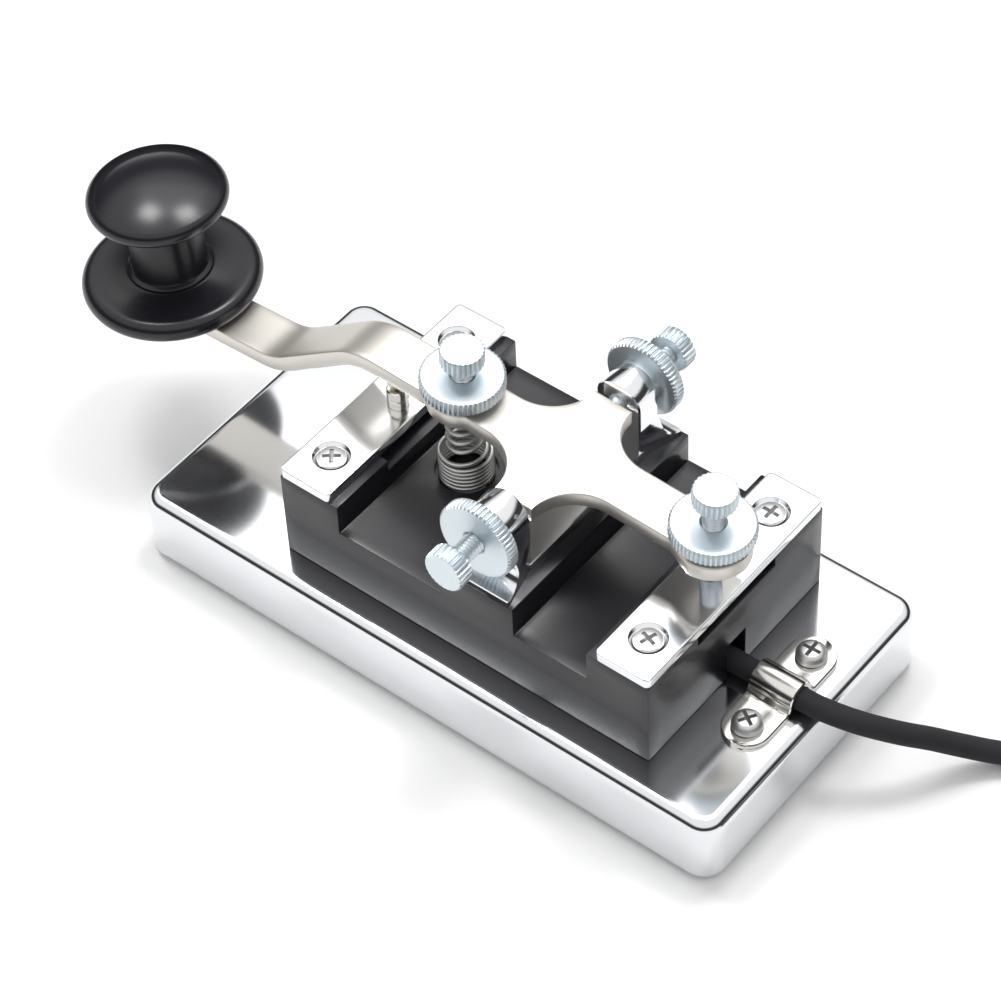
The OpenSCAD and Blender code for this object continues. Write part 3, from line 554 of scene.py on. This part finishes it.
def upright():
    """Rows at heights z; each section is an octagon between the inner face and the outer face."""
    low = np.array([0, 0.25, 0.6, 1, 1.1, 1.3, 1.5, 1.8, 2.2, 2.7, 3.3, 3.9, 4.5, 5, 6, 7, 8, 9.5, boss_z])
    boss = boss_z + boss_r * np.sin(np.radians(np.linspace(6, 90, 15)))
    rows = []
    for z in np.concatenate([low, boss]):
        out = foot_face if z < 1 else outer_face
        if 1 <= z < flare_top:
            out = foot_face - math.sqrt(flare_r ** 2 - (z - flare_top) ** 2)
        if z > boss_z:
            inner = outer = math.sqrt(max(boss_r ** 2 - (z - boss_z) ** 2, 1e-4))
        else:
            foot = np.interp(z, [1.5, 7], [7.2, boss_r])
            inner = boss_r
            outer = max(boss_r, min(foot, boss_r + 2.5 * (out - inner_face) / 10.3))
        c = min(0.3, inner / 2)
        rows += [(inner - c, inner_face), (inner, inner_face + c), (outer, out - c), (outer - c, out),
                 (c - outer, out), (-outer, out - c), (-inner, inner_face + c), (c - inner, inner_face)]
    rows = np.array(rows)
    count = len(low) + len(boss)
    points = np.column_stack([rows, np.repeat(np.concatenate([low, boss]), 8)])
    faces = quads(count, 8) + [list(range(8))[::-1], [(count - 1) * 8 + k for k in range(8)]]
    return points, faces


strip = slab(5, 16.2, 0.4, [(0.15, 0), (0, 0.15), (0, 1.3), (0.2, 1.5), (0.5, 1.5)])
yoke = joined(upright(), moved(upright(), turn=turned("z", 180)), strip)
yoke = new_mesh_object("yoke_cast", moved(yoke, (pivot[0], 0, tower_top)), 40)
settle(yoke, "key_base", "polished_chrome", "yoke")

# %% [markdown]
# ## The lever
#
# The lever is cut from thick sheet and bent twice. We describe it by two functions of the distance x
# along it: the half width, with its arms, its lobe and its round ends, and the height and angle of
# the middle line. The section is a rectangle with rounded edges, set square to that line. All the
# parts on the lever share its frame, which is tilted by 2.5 degrees, as the key rests on its rear
# screw.

# %% Lever
tilt = turned("y", 2.5)
front_x, rear_x = -89.7, 31.2
drop = 15.5
bar_half, rear_r = 4.8, 7
lobe_x, lobe_r = -22, 6.4
arm_half, arm_reach = 3.9, 14.0
fillet_r, fillet_end = 9.2, 13.1
half_t = 1.6
bend_x = -38


def on_lever(shape, offset=(0, 0, 0), turn=None):
    """Lever frame to world: turn and move in the lever's frame, then tilt about the pivot."""
    return moved(moved(shape, offset, turn), pivot, tilt)


def half_width(x):
    """Largest of the bar, the spring screw's lobe, the two round ends, and the arms' fillets."""
    best = bar_half if front_x <= x <= rear_x else 0.0
    for centre, radius in ((lobe_x, lobe_r), (rear_x, rear_r), (front_x, bar_half)):
        best = max(best, math.sqrt(max(radius ** 2 - (x - centre) ** 2, 0)))
    if abs(x) <= arm_half:
        return arm_reach
    if abs(x) < fillet_end:
        inside = math.sqrt(max(fillet_r ** 2 - (fillet_end - abs(x)) ** 2, 0))
        best = max(best, bar_half + fillet_r - inside)
    return best


def middle_line(x):
    """Height and slope angle: level, a bend of radius 12.5, a slope, a bend back, and the front end."""
    r, steep, flat = 12.5, math.radians(38.5), math.radians(5.5)
    slope = (drop - r * (1 + math.cos(flat) - 2 * math.cos(steep))) / math.sin(steep)
    x1 = bend_x - r * math.sin(steep)
    z1 = r * math.cos(steep) - r
    x2 = x1 - slope * math.cos(steep)
    z2 = z1 - slope * math.sin(steep)
    cx, cz = x2 - r * math.sin(steep), z2 + r * math.cos(steep)
    x3, z3 = cx + r * math.sin(flat), cz - r * math.cos(flat)
    if x > bend_x:
        return 0.0, 0.0
    if x > x1:
        a = math.asin((bend_x - x) / r)
        return r * math.cos(a) - r, a
    if x > x2:
        return z1 + (x - x1) * math.tan(steep), steep
    if x > x3:
        a = math.asin((x - cx) / r)
        return cz - r * math.cos(a), a
    return z3 + (x - x3) * math.tan(flat), flat


def lever_shape():
    """Rows along x, closer where the outline turns; columns round the section."""
    half = np.radians(np.linspace(0, 90, 12))
    x = [front_x - 4.79 * math.cos(a) for a in half] + [rear_x + 6.99 * math.cos(a) for a in half]
    x += list(np.linspace(-89, 26, 96))
    x += [lobe_x + lobe_r * math.cos(a) for a in np.radians(range(0, 181, 10))]
    fillet = [fillet_end - fillet_r * math.sin(a) for a in np.radians(np.linspace(0, 88, 16))]
    for side in (-1, 1):
        x += [side * v for v in fillet + [arm_half + 0.0001, arm_half, 3.6]]
    x = np.unique(np.round(x, 4))
    e = 0.35
    rows = []
    for at in x:
        w = half_width(at)
        k = min(e, w / 2)
        z, a = middle_line(at)
        over = np.linspace(w - k, k - w, 9)
        corner = [(math.cos(q), math.sin(q)) for q in np.radians([15, 40, 65])]
        edge = [(w - k + k * c, half_t - e + e * s) for c, s in corner]
        top = edge + [(y, half_t) for y in over] + [(-y, t) for y, t in edge[::-1]]
        for y, t in top + [(-y, -t) for y, t in top]:
            rows.append((at - t * math.sin(a), y, z + t * math.cos(a)))
    count = len(rows) // len(x)
    faces = quads(len(x), count)
    faces += [list(range(count))[::-1], [(len(x) - 1) * count + k for k in range(count)]]
    return np.array(rows), faces


lever = new_mesh_object("lever_bent", on_lever(lever_shape()), 38)
settle(lever, "lever_body", "brushed_nickel", "lever")

# %% [markdown]
# ## The adjusting screws, nuts and contacts
#
# Four thumb screws set the key: two hold the pivot, one the spring's force, one the contact gap. All
# share a knurled head and an M4 thread, and each is locked by a large knurled nut. We make each
# standing on z = 0, then turn it on to its own line.

# %% Thumb screws and nuts
m4_radius, m4_pitch = 2.0, 0.7


def thumb_screw(length, *ends):
    """Knurled head from z = 0 up, M4 thread below, and any shapes added at its lower end."""
    head = [(0, 0, 0), (3.5, 0, 0), (3.75, 0.05, 0.2), (4, 0.35, 1), (4, 2.95, 1), (3.75, 3.25, 0.25)]
    head += [(3.5, 3.3, 0), (3.0, 3.3, 0), (0, 3.3, 0)]
    return joined(knurled(head, 26, 0.55, 6), thread(m4_radius, m4_pitch, -length, 0.2), *ends)


def lock_nut():
    """Ring section: a plain collar, then a knurled disc with chamfered corners."""
    section = [(2.05, 0.15, 0), (2.2, 0, 0), (4.2, 0, 0), (4.4, 0.2, 0), (4.4, 1.2, 0), (7.0, 1.2, 0)]
    section += [(7.25, 1.25, 0.2), (7.6, 1.6, 1), (7.6, 3.6, 1), (7.25, 3.95, 0.2), (7.0, 4, 0)]
    section += [(6.4, 4, 0), (2.4, 4, 0), (2.05, 3.7, 0)]
    return knurled(section, 54, 0.5, 6, closed=True)


cone_line = [(0, -17.7), (0.36, -17.7), (1.25, -15.32), (1.3, -15.25), (1.5, -14.85)]
cone_line += [(1.5, -14.2), (0, -14.2)]
cone = lathe(cone_line, 32)
for side, name in ((-1, "near"), (1, "far")):
    turn = turned("x", -90 * side)
    at = pivot + [0, side * outer_face, 0]
    screw = moved(thumb_screw(14.85, cone), at + [0, side * 9, 0], turn)
    screw = new_mesh_object(name + "_thumb_screw", screw, 40)
    settle(screw, name + "_screw_body", "zinc", name + "_trunnion_screw")
    nut = new_mesh_object(name + "_knurled_nut", moved(lock_nut(), at + [0, side * 0.02, 0], turn), 40)
    settle(nut, name + "_nut", "zinc", name + "_lock_nut")

pin = lathe([(0, -15.5), (0.9, -15.5), (1.2, -15.2), (1.2, -13.2), (0, -13.2)], 32)
standing = (("spring", lobe_x, 8.6, 13.5, [pin]), ("gap", rear_x, 10.6, 18.62, []))
for name, x, head, length, ends in standing:
    screw = on_lever(thumb_screw(length, *ends), (x, 0, head))
    screw = new_mesh_object(name + "_thumb_screw", screw, 40)
    settle(screw, name + "_screw_body", "zinc", name + "_screw")
    nut = new_mesh_object(name + "_knurled_nut", on_lever(lock_nut(), (x, 0, 1.62)), 40)
    settle(nut, name + "_nut", "zinc", name + "_lock_nut")

upper = [(0, -7.44), (0.9, -7.44), (1.25, -7.3), (1.4, -7.05), (1.42, -6.7), (1.6, -6.55)]
upper += [(1.6, -1.75), (1.5, -1.6), (0, -1.6)]
upper = new_mesh_object("upper_contact_turned", on_lever(lathe(upper, 48), (-37.2, 0, 0)), 30)
settle(upper, "lever_body", "contact_nickel", "upper_contact")
lower = [(0, 19.2), (1.3, 19.2), (1.5, 19.5), (1.5, 36.3), (2, 36.42), (2, 37.2), (1.85, 37.3), (1.85, 37.6)]
lower += [(2, 37.7), (2, 39.2), (1.75, 39.45), (1.5, 39.49), (0, 39.5)]
lower = new_mesh_object("lower_contact_turned", moved(lathe(lower, 48), (-27.2, 0, 0)), 30)
settle(lower, "key_base", "contact_nickel", "lower_contact")

# %% [markdown]
# ## The return spring
#
# The wire winds six close turns at the wide radius, steps in, and rises in open turns to a small
# closed end on the screw's pin. Radius and height are both functions of the turns wound, so the
# spring is one swept tube.

# %% Spring
def spring_path():
    """(turns, radius, height over the seat) at a few places, joined evenly between them."""
    stops = [0, 0.8, 6.6, 7.6, 10.0, 10.7, 11.6]
    turns = np.arange(0, 11.6, 1 / 40)
    r = np.interp(turns, stops, [4.7, 4.7, 4.7, 3.05, 2.95, 2.55, 1.95])
    z = np.interp(turns, stops, [0.42, 0.75, 6.1, 8.0, 13.2, 14.35, 14.5])
    t = 2 * math.pi * turns
    return np.stack([spring_x + r * np.cos(t), r * np.sin(t), seat_z + z], -1)


spring = new_mesh_object("return_spring_wound", sweep(spring_path(), 0.4, 10))
settle(spring, "key_base", "spring_steel", "return_spring")
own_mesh(spring)

# %% [markdown]
# ## The knob
#
# The knob is one turned moulding: a flat finger flange with a full round rim, a waist, and a domed
# head. The dome's cap is a shallow arc that runs into a small round rim. A pan head screw holds it
# from below.

# %% Knob
cap_r = (13 ** 2 + 4 ** 2) / 8
join_angle = math.degrees(math.asin(12.1 / cap_r))
knob_line = [(0, 0), (12, 0), (14.5, 0.1)] + arc(14.5, 2.3, 2.2, -80, 90, 18)
knob_line += [(13.5, 4.55), (8.3, 4.6), (7.95, 4.8), (7.9, 5.4), (7.6, 5.6), (7.2, 5.8), (7.0, 6.4), (7, 17)]
knob_line += [(7.15, 18.2), (7.7, 19.2), (8.8, 19.65)] + arc(11.1, 21.6, 1.9, -85, 62, 14)
knob_line += [(cap_r * math.sin(a), 25.6 - cap_r + cap_r * math.cos(a))
              for a in np.radians(np.linspace(join_angle - 1.5, 0, 16))]
front = np.array([front_x, 0, middle_line(front_x)[0]])
knob_turn = turned("y", -5.5)
knob_up = knob_turn @ [0, 0, half_t]
knob = new_mesh_object("knob_turned", on_lever(lathe(knob_line, 120), front + knob_up, knob_turn), 40)
settle(knob, "lever_body", "black_gloss", "knob")
under = knob_turn @ turned("x", 180)
screw = on_lever(pan_head(3.8, 2.4, 2, 11, 2.0), front - knob_up, under)
settle(new_mesh_object("knob_screw_pan", screw, 30), "lever_body", "steel", "knob_screw")

# %% [markdown]
# ## The cable clamp
#
# The clamp is a strap pressed over the cable. Its section across the key is a line: ear, fillet, arch,
# fillet, ear. Along the key it is 9 wide, and its ears end round. The strap's half width is therefore
# a function of the distance from the middle, and the thickness is set off square to the line.

# %% Clamp
clamp_x = 55.6


def clamp_shape():
    """Columns across the strap: upper side out and lower side back, with small rounded edges."""
    flat, ear_end, ear_r, arch_r = 0.5, 13.9, 4.5, 2.66
    line = [(-ear_end + ear_r - ear_r * math.cos(a), flat) for a in np.radians(np.linspace(2, 90, 10))]
    line += [(-7, flat), (-5, flat), (-4.1, flat)]
    line += [(-3.55, flat + 0.12), (-3.1, flat + 0.5), (-2.86, flat + 1.05)]
    line += [(arch_r * math.cos(a), cable_d / 2 + arch_r * math.sin(a))
             for a in np.radians(np.linspace(184, 90, 14))]
    line = np.array(line + [(-y, z) for y, z in line[-2::-1]])
    ahead = np.gradient(line, axis=0)
    normal = np.stack([-ahead[:, 1], ahead[:, 0]], -1) / np.linalg.norm(ahead, axis=1)[:, None]
    reach = np.maximum(ear_end - np.abs(line[:, 0]), 0)
    rounding = np.sqrt(np.maximum(ear_r ** 2 - (ear_r - reach) ** 2, 0.01))
    half = np.where(reach < ear_r, rounding, ear_r)
    points = []
    for (y, z), (ny, nz), w in zip(line, normal, half):
        rib = 0.16 if abs(y) > 3.4 else 0.0
        top = [(w, 0.1), (w, 0.3), (w - min(0.2, w / 3), 0.5), (w * 0.62, 0.5), (w * 0.3, 0.5 - rib)]
        top += [(-x, t) for x, t in top[::-1]]
        for x, t in top + [(-w, -0.4), (-w * 0.9, -0.5), (w * 0.9, -0.5), (w, -0.4)]:
            points.append((x, y + ny * t, z + nz * t))
    count = 14
    faces = quads(len(line), count)
    faces += [list(range(count))[::-1], [(len(line) - 1) * count + k for k in range(count)]]
    return np.array(points), faces


clamp = new_mesh_object("cable_clamp_pressed", moved(clamp_shape(), (clamp_x, 0, base_top)), 30)
settle(clamp, "key_base", "polished_nickel", "cable_clamp")
head = pan_head(2.8, 2, 1.5, 4, 1.7)
pair = joined(*[moved(head, (clamp_x, y, 16.2), turned("z", a)) for y, a in ((-9.4, 20), (9.4, 55))])
settle(new_mesh_object("clamp_screws_pan", pair, 30), "key_base", "steel", "clamp_screws")
sleeve_line = [(0, 0), (2.0, 0), (2.1, 0.1), (2.1, 19.6), (0, 19.6)]
stub = moved(lathe(sleeve_line, 40), (40.5, 0, cable_z), turned("y", 90))
settle(new_mesh_object("inner_cable_jacket", stub), "key_base", "black_cable", "inner_cable")

# %% [markdown]
# ## A small language for materials
#
# A procedural material is arithmetic on textures. Written node by node it is hard to read, so we wrap
# a node's output in a class that knows +, - and *. Then a roughness can be written as
# 0.2 + 0.1 * noise, and each sign adds one Math node. All textures use Object coordinates, which are
# metres here, so a scale of 500 makes features about two millimetres wide.

# %% Shader language
class Value:
    """A node's output that can be reckoned with."""

    def __init__(self, shader, socket):
        self.shader = shader
        self.socket = socket

    def __add__(self, other):
        return self.shader.math("ADD", self, other)

    def __sub__(self, other):
        return self.shader.math("SUBTRACT", self, other)

    def __rsub__(self, other):
        return self.shader.math("SUBTRACT", other, self)

    def __mul__(self, other):
        return self.shader.math("MULTIPLY", self, other)

    __radd__ = __add__
    __rmul__ = __mul__

    def step(self, low, high):
        """0 below low, 1 above high, and an even rise between them."""
        made = self.shader.node("MapRange", Value=self, From_Min=low, From_Max=high)
        return made.out("Result")


class Made:
    """A node that has just been added; out(name) gives one of its outputs."""

    def __init__(self, shader, node):
        self.shader = shader
        self.bpy_node = node

    def out(self, name):
        return Value(self.shader, self.bpy_node.outputs[name])


class Shader:
    """The node tree of a material or a world, emptied first."""

    def __init__(self, owner):
        owner.use_nodes = True
        self.tree = owner.node_tree
        self.tree.nodes.clear()
        self.kind = "World" if isinstance(owner, bpy.types.World) else "Material"

    def feed(self, target, value):
        if isinstance(value, Value):
            self.tree.links.new(value.socket, target)
        elif isinstance(value, tuple) and len(value) == 3 and target.type == "RGBA":
            target.default_value = (*value, 1.0)
        else:
            target.default_value = value

    def node(self, kind, settings=None, **inputs):
        """Adds a node by its short type name, with settings, then inputs by name."""
        node = self.tree.nodes.new("ShaderNode" + kind)
        for key, value in (settings or {}).items():
            setattr(node, key, value)
        for key, value in inputs.items():
            self.feed(node.inputs[key.replace("_", " ")], value)
        return Made(self, node)

    def math(self, operation, a, b):
        node = self.node("Math", {"operation": operation})
        self.feed(node.bpy_node.inputs[0], a)
        self.feed(node.bpy_node.inputs[1], b)
        return node.out("Value")

    def blend(self, factor, a, b):
        """Mix of two colours."""
        node = self.node("Mix", {"data_type": "RGBA"}).bpy_node
        for index, value in ((0, factor), (6, a), (7, b)):
            self.feed(node.inputs[index], value)
        return Value(self, node.outputs[2])

    def ramp(self, value, stops):
        """Grey colour from (position, level) stops."""
        node = self.node("ValToRGB", Fac=value)
        elements = node.bpy_node.color_ramp.elements
        while len(elements) < len(stops):
            elements.new(1.0)
        for element, (position, level) in zip(elements, stops):
            element.position = position
            element.color = (level, level, level, 1)
        return node.out("Color")

    def place(self, stretch=(1, 1, 1)):
        """Object coordinates, scaled on each axis."""
        at = self.node("TexCoord").out("Object")
        return self.node("Mapping", Vector=at, Scale=stretch).out("Vector")

    def noise(self, scale, stretch=(1, 1, 1), detail=3.0):
        made = self.node("TexNoise", Vector=self.place(stretch), Scale=scale, Detail=detail)
        return made.out("Fac")

    def specks(self, scale, size):
        """1 inside small round specks, 0 between them."""
        far = self.node("TexVoronoi", Vector=self.place(), Scale=scale).out("Distance")
        return 1 - far.step(size * 0.6, size)

    def upright(self):
        """How far the surface faces up: 1 on a top, 0 on a side."""
        normal = self.node("NewGeometry").out("Normal")
        return self.node("SeparateXYZ", Vector=normal).out("Z")

    def bump(self, height, depth_mm, strength=1.0):
        made = self.node("Bump", Height=height, Distance=depth_mm * mm, Strength=strength)
        return made.out("Normal")

    def surface(self, **inputs):
        self.finish(self.node("BsdfPrincipled", **inputs).out("BSDF"))

    def finish(self, closure):
        end = self.tree.nodes.new("ShaderNodeOutput" + self.kind)
        self.tree.links.new(closure.socket, end.inputs["Surface"])


def material(name):
    return Shader(bpy.data.materials.new(name))


def use(piece, name):
    piece.data.materials.clear()
    piece.data.materials.append(bpy.data.materials[name])


# %% [markdown]
# ## The metals
#
# Every metal is fully metallic; what tells them apart is the roughness and the small shape of the
# surface, and each keeps one base colour but the lever. The casting has the slow waves that plating
# leaves over a cast face, with some pits, and its sides were polished less than its top. The lever is
# brushed along its length, and its sides are painted near black: painted shade, a painted reflection of
# the black body beside it. Zinc plate is bluish and cloudy. Fine scratches run through the bright plates.

# %% Metals
m = material("chromed_casting")
top = m.upright().step(0.4, 0.9)
waves = m.noise(330, detail=1.5)
pits = m.specks(900, 0.16) * m.noise(60).step(0.55, 0.7)
dull = m.noise(45, detail=5).step(0.35, 0.75)
side_rough = 0.24 + 0.1 * dull
m.surface(Base_Color=m.blend(pits, (0.88, 0.885, 0.89), (0.45, 0.45, 0.46)), Metallic=1.0,
          Roughness=side_rough * (1 - top) + (0.02 + 0.035 * dull) * top + 0.2 * pits,
          Normal=m.bump(waves + 0.2 * m.noise(1500) - pits, 0.05, 0.5))


def bright(name, colour, shade, rough, spread, peel, scratch=0.0):
    """Plated metal: cloudy roughness, slow waves of plating, and hair scratches along one line."""
    m = material(name)
    cloud = m.noise(70, detail=4).step(0.3, 0.7)
    hair = m.noise(260, (1, 14, 1), 2).step(0.66, 0.72)
    tint = m.blend(cloud, colour, shade)
    m.surface(Base_Color=tint, Metallic=1.0, Roughness=rough + spread * cloud + scratch * hair,
              Normal=m.bump(m.noise(420, detail=2) + 0.2 * hair, 0.02 * peel, 0.5))


bright("polished_chrome", (0.83, 0.84, 0.855), (0.78, 0.79, 0.81), 0.035, 0.04, 0.8, 0.08)
bright("steel", (0.74, 0.66, 0.55), (0.52, 0.44, 0.35), 0.1, 0.12, 1.5)
bright("polished_nickel", (0.78, 0.735, 0.67), (0.62, 0.56, 0.5), 0.06, 0.07, 1.8, 0.1)
bright("spring_steel", (0.55, 0.55, 0.56), (0.36, 0.36, 0.37), 0.2, 0.15, 1.0)
bright("contact_nickel", (0.78, 0.72, 0.6), (0.66, 0.56, 0.4), 0.14, 0.12, 1.0, 0.1)
bright("tinned_brass", (0.72, 0.62, 0.38), (0.6, 0.58, 0.52), 0.25, 0.2, 1.5)

m = material("brushed_nickel")
top = m.upright().step(0.55, 0.85)
streaks = m.noise(60, (1, 22, 22), 5)
fine = m.noise(160, (1, 16, 16), 3)
worn = m.noise(38, detail=3).step(0.45, 0.75)
warm = m.blend(streaks.step(0.3, 0.7), (0.6, 0.585, 0.56), (0.34, 0.31, 0.27))
# Surfaces facing sideways take a near-black colour instead of the brushed tone: painted shade, a painted
# reflection of the black body.
m.surface(Base_Color=m.blend(top, (0.09, 0.09, 0.1), warm), Metallic=1.0,
          Roughness=(0.22 + 0.12 * fine - 0.08 * worn) * top + 0.1 * (1 - top),
          Normal=m.bump(streaks * top + fine * top, 0.035, 0.5))

m = material("zinc")
cloud = m.noise(260, detail=5).step(0.35, 0.7)
spangle = m.node("TexVoronoi", Vector=m.place(), Scale=1400.0).out("Distance")
rub = m.noise(90, detail=3).step(0.5, 0.7)
zinc_colour = m.blend(cloud, (0.66, 0.78, 0.87), (0.42, 0.52, 0.61))
m.surface(Base_Color=m.blend(rub * 0.5, zinc_colour, (0.8, 0.8, 0.8)), Metallic=1.0,
          Roughness=0.07 + 0.09 * cloud + 0.06 * spangle,
          Normal=m.bump(cloud + 0.5 * spangle, 0.02, 0.5))

# %% [markdown]
# ## Moulded parts, rubber and the cable
#
# Black plastics differ by gloss and by what lies on them. The body shows dust and fine rubbing, the
# knob a deep clear gloss with faint hairlines, the cable a satin skin with slight ripples, and the
# mat a fine grain. The tie is woven: two waves at right angles make its weave.

# %% Plastics
m = material("black_bakelite")
dust = m.specks(1300, 0.09) * m.noise(50).step(0.52, 0.62)
haze = m.noise(55, detail=6).step(0.4, 0.75)
m.surface(Base_Color=m.blend(dust * 0.2, m.blend(haze, (0.002, 0.002, 0.0025), (0.005, 0.005, 0.0055)),
                             (0.3, 0.3, 0.3)),
          Roughness=0.05 + 0.06 * haze + 0.4 * dust, IOR=1.1, Specular_IOR_Level=0.4,
          Normal=m.bump(m.noise(300, detail=2), 0.012, 0.5))

m = material("black_gloss")
hair = m.noise(180, (1, 10, 3), 3).step(0.62, 0.7)
cloud = m.noise(60, detail=3)
m.surface(Base_Color=m.blend(cloud, (0.002, 0.002, 0.0024), (0.004, 0.004, 0.0045)),
          Roughness=0.015 + 0.03 * cloud + 0.08 * hair, IOR=1.3, Specular_IOR_Level=0.5,
          Normal=m.bump(cloud + 0.1 * hair, 0.02, 0.4))


def soft_black(name, colour, dusty, rough, scale, depth):
    """Satin or matt skin: a grain of one size, with paler dust in cloudy patches."""
    m = material(name)
    grain = m.noise(scale, detail=4)
    cloud = m.noise(80, detail=3).step(0.35, 0.7)
    m.surface(Base_Color=m.blend(cloud * 0.5, colour, dusty), Roughness=rough + 0.12 * cloud,
              IOR=1.25, Normal=m.bump(grain, depth, 0.6))


soft_black("black_rubber", (0.016, 0.016, 0.017), (0.04, 0.04, 0.04), 0.62, 2600, 0.05)
soft_black("black_cable", (0.006, 0.006, 0.0065), (0.014, 0.014, 0.015), 0.32, 900, 0.03)
soft_black("black_plug", (0.014, 0.014, 0.015), (0.035, 0.035, 0.036), 0.3, 1600, 0.03)
soft_black("red_insulation", (0.42, 0.02, 0.015), (0.5, 0.06, 0.04), 0.35, 1200, 0.02)

m = material("grey_tie")
warp = m.node("TexWave", Vector=m.place((1, 0, 0)), Scale=260.0).out("Fac")
weft = m.node("TexWave", {"bands_direction": "Z"}, Vector=m.place(), Scale=260.0).out("Fac")
cross_weave = warp * weft
m.surface(Base_Color=m.blend(cross_weave, (0.1, 0.1, 0.105), (0.24, 0.24, 0.25)),
          Roughness=0.75 + 0.1 * warp, Normal=m.bump(cross_weave, 0.15, 0.7))

m = material("floor_white")
tooth = m.noise(500, detail=3)
m.surface(Base_Color=m.blend(m.noise(8), (0.93, 0.93, 0.93), (0.95, 0.95, 0.95)),
          Roughness=0.7 + 0.1 * tooth, Normal=m.bump(tooth, 0.01, 0.2))

# %% [markdown]
# ## Giving every part its finish
#
# The slot of every new piece is named after its finish. So one table does for both: new pieces by the
# slot they were given, and the CAD nodes that stay by theirs.

# %% Finishes
kept = {"rubber_mat": "black_rubber", "body_screws": "steel", "yoke_screws": "steel",
        "contact_nut": "tinned_brass", "solder_tags": "tinned_brass", "line_wire": "red_insulation",
        "frame_wire": "black_cable"}
for piece, finish in finishes.items():
    use(bpy.data.objects[piece], finish)
for name, finish in kept.items():
    for slot in bpy.data.objects[name].material_slots:
        slot.link = "OBJECT"
        slot.material = bpy.data.materials[finish]
print("materials:", len(bpy.data.materials))

# %% [markdown]
# ## Floor and light
#
# The key stands on a plain white sheet. Polished parts show what surrounds them, so the room matters
# as much as the lamps: white overhead, a broad dark band above the horizon, which gives the chrome
# its dark lines, and mid grey at the horizon and below it. One large soft panel above and behind
# lights the tops, and two small windows overhead give the knob its highlights. The Standard view
# keeps black as black and white as white.

# %% Floor and light
reach = 900
floor_corners = [[-reach, -reach, 0], [reach, -reach, 0], [reach, reach, 0], [-reach, reach, 0]]
floor = new_mesh_object("floor", (floor_corners, [[0, 1, 2, 3]]))
use(floor, "floor_white")


def panel(name, at, aim, width, height, power):
    """Soft rectangular light at a place in metres, turned to face a point."""
    data = bpy.data.lights.new(name, "AREA")
    data.shape = "RECTANGLE"
    data.size = width
    data.size_y = height
    data.energy = power
    lamp = bpy.data.objects.new(name, data)
    bpy.context.scene.collection.objects.link(lamp)
    lamp.location = at
    lamp.rotation_euler = (Vector(aim) - Vector(at)).to_track_quat("-Z", "Y").to_euler()


panel("top_panel", (-0.25, 0.3, 0.75), (0, 0, 0.02), 0.7, 0.5, 1.2)
knob_top = (-0.08, 0, 0.055)
panel("window_right", (-0.02, 0.2, 0.63), knob_top, 0.13, 0.16, 1.0)
panel("window_left", (-0.26, 0.01, 0.63), knob_top, 0.13, 0.16, 1.0)

bpy.context.scene.view_settings.view_transform = "Standard"
world = bpy.data.worlds.new("studio")
bpy.context.scene.world = world
sky = Shader(world)
ray = sky.node("TexCoord").out("Generated")
height = sky.node("SeparateXYZ", Vector=ray).out("Z")
levels = [(0.0, 0.5), (0.04, 0.04), (0.42, 0.05), (0.58, 0.95), (0.7, 1.0), (1.0, 1.0)]
level = sky.ramp(height, levels)
lit = sky.node("Background", Color=level, Strength=1.0).out("Background")
sky.finish(lit)
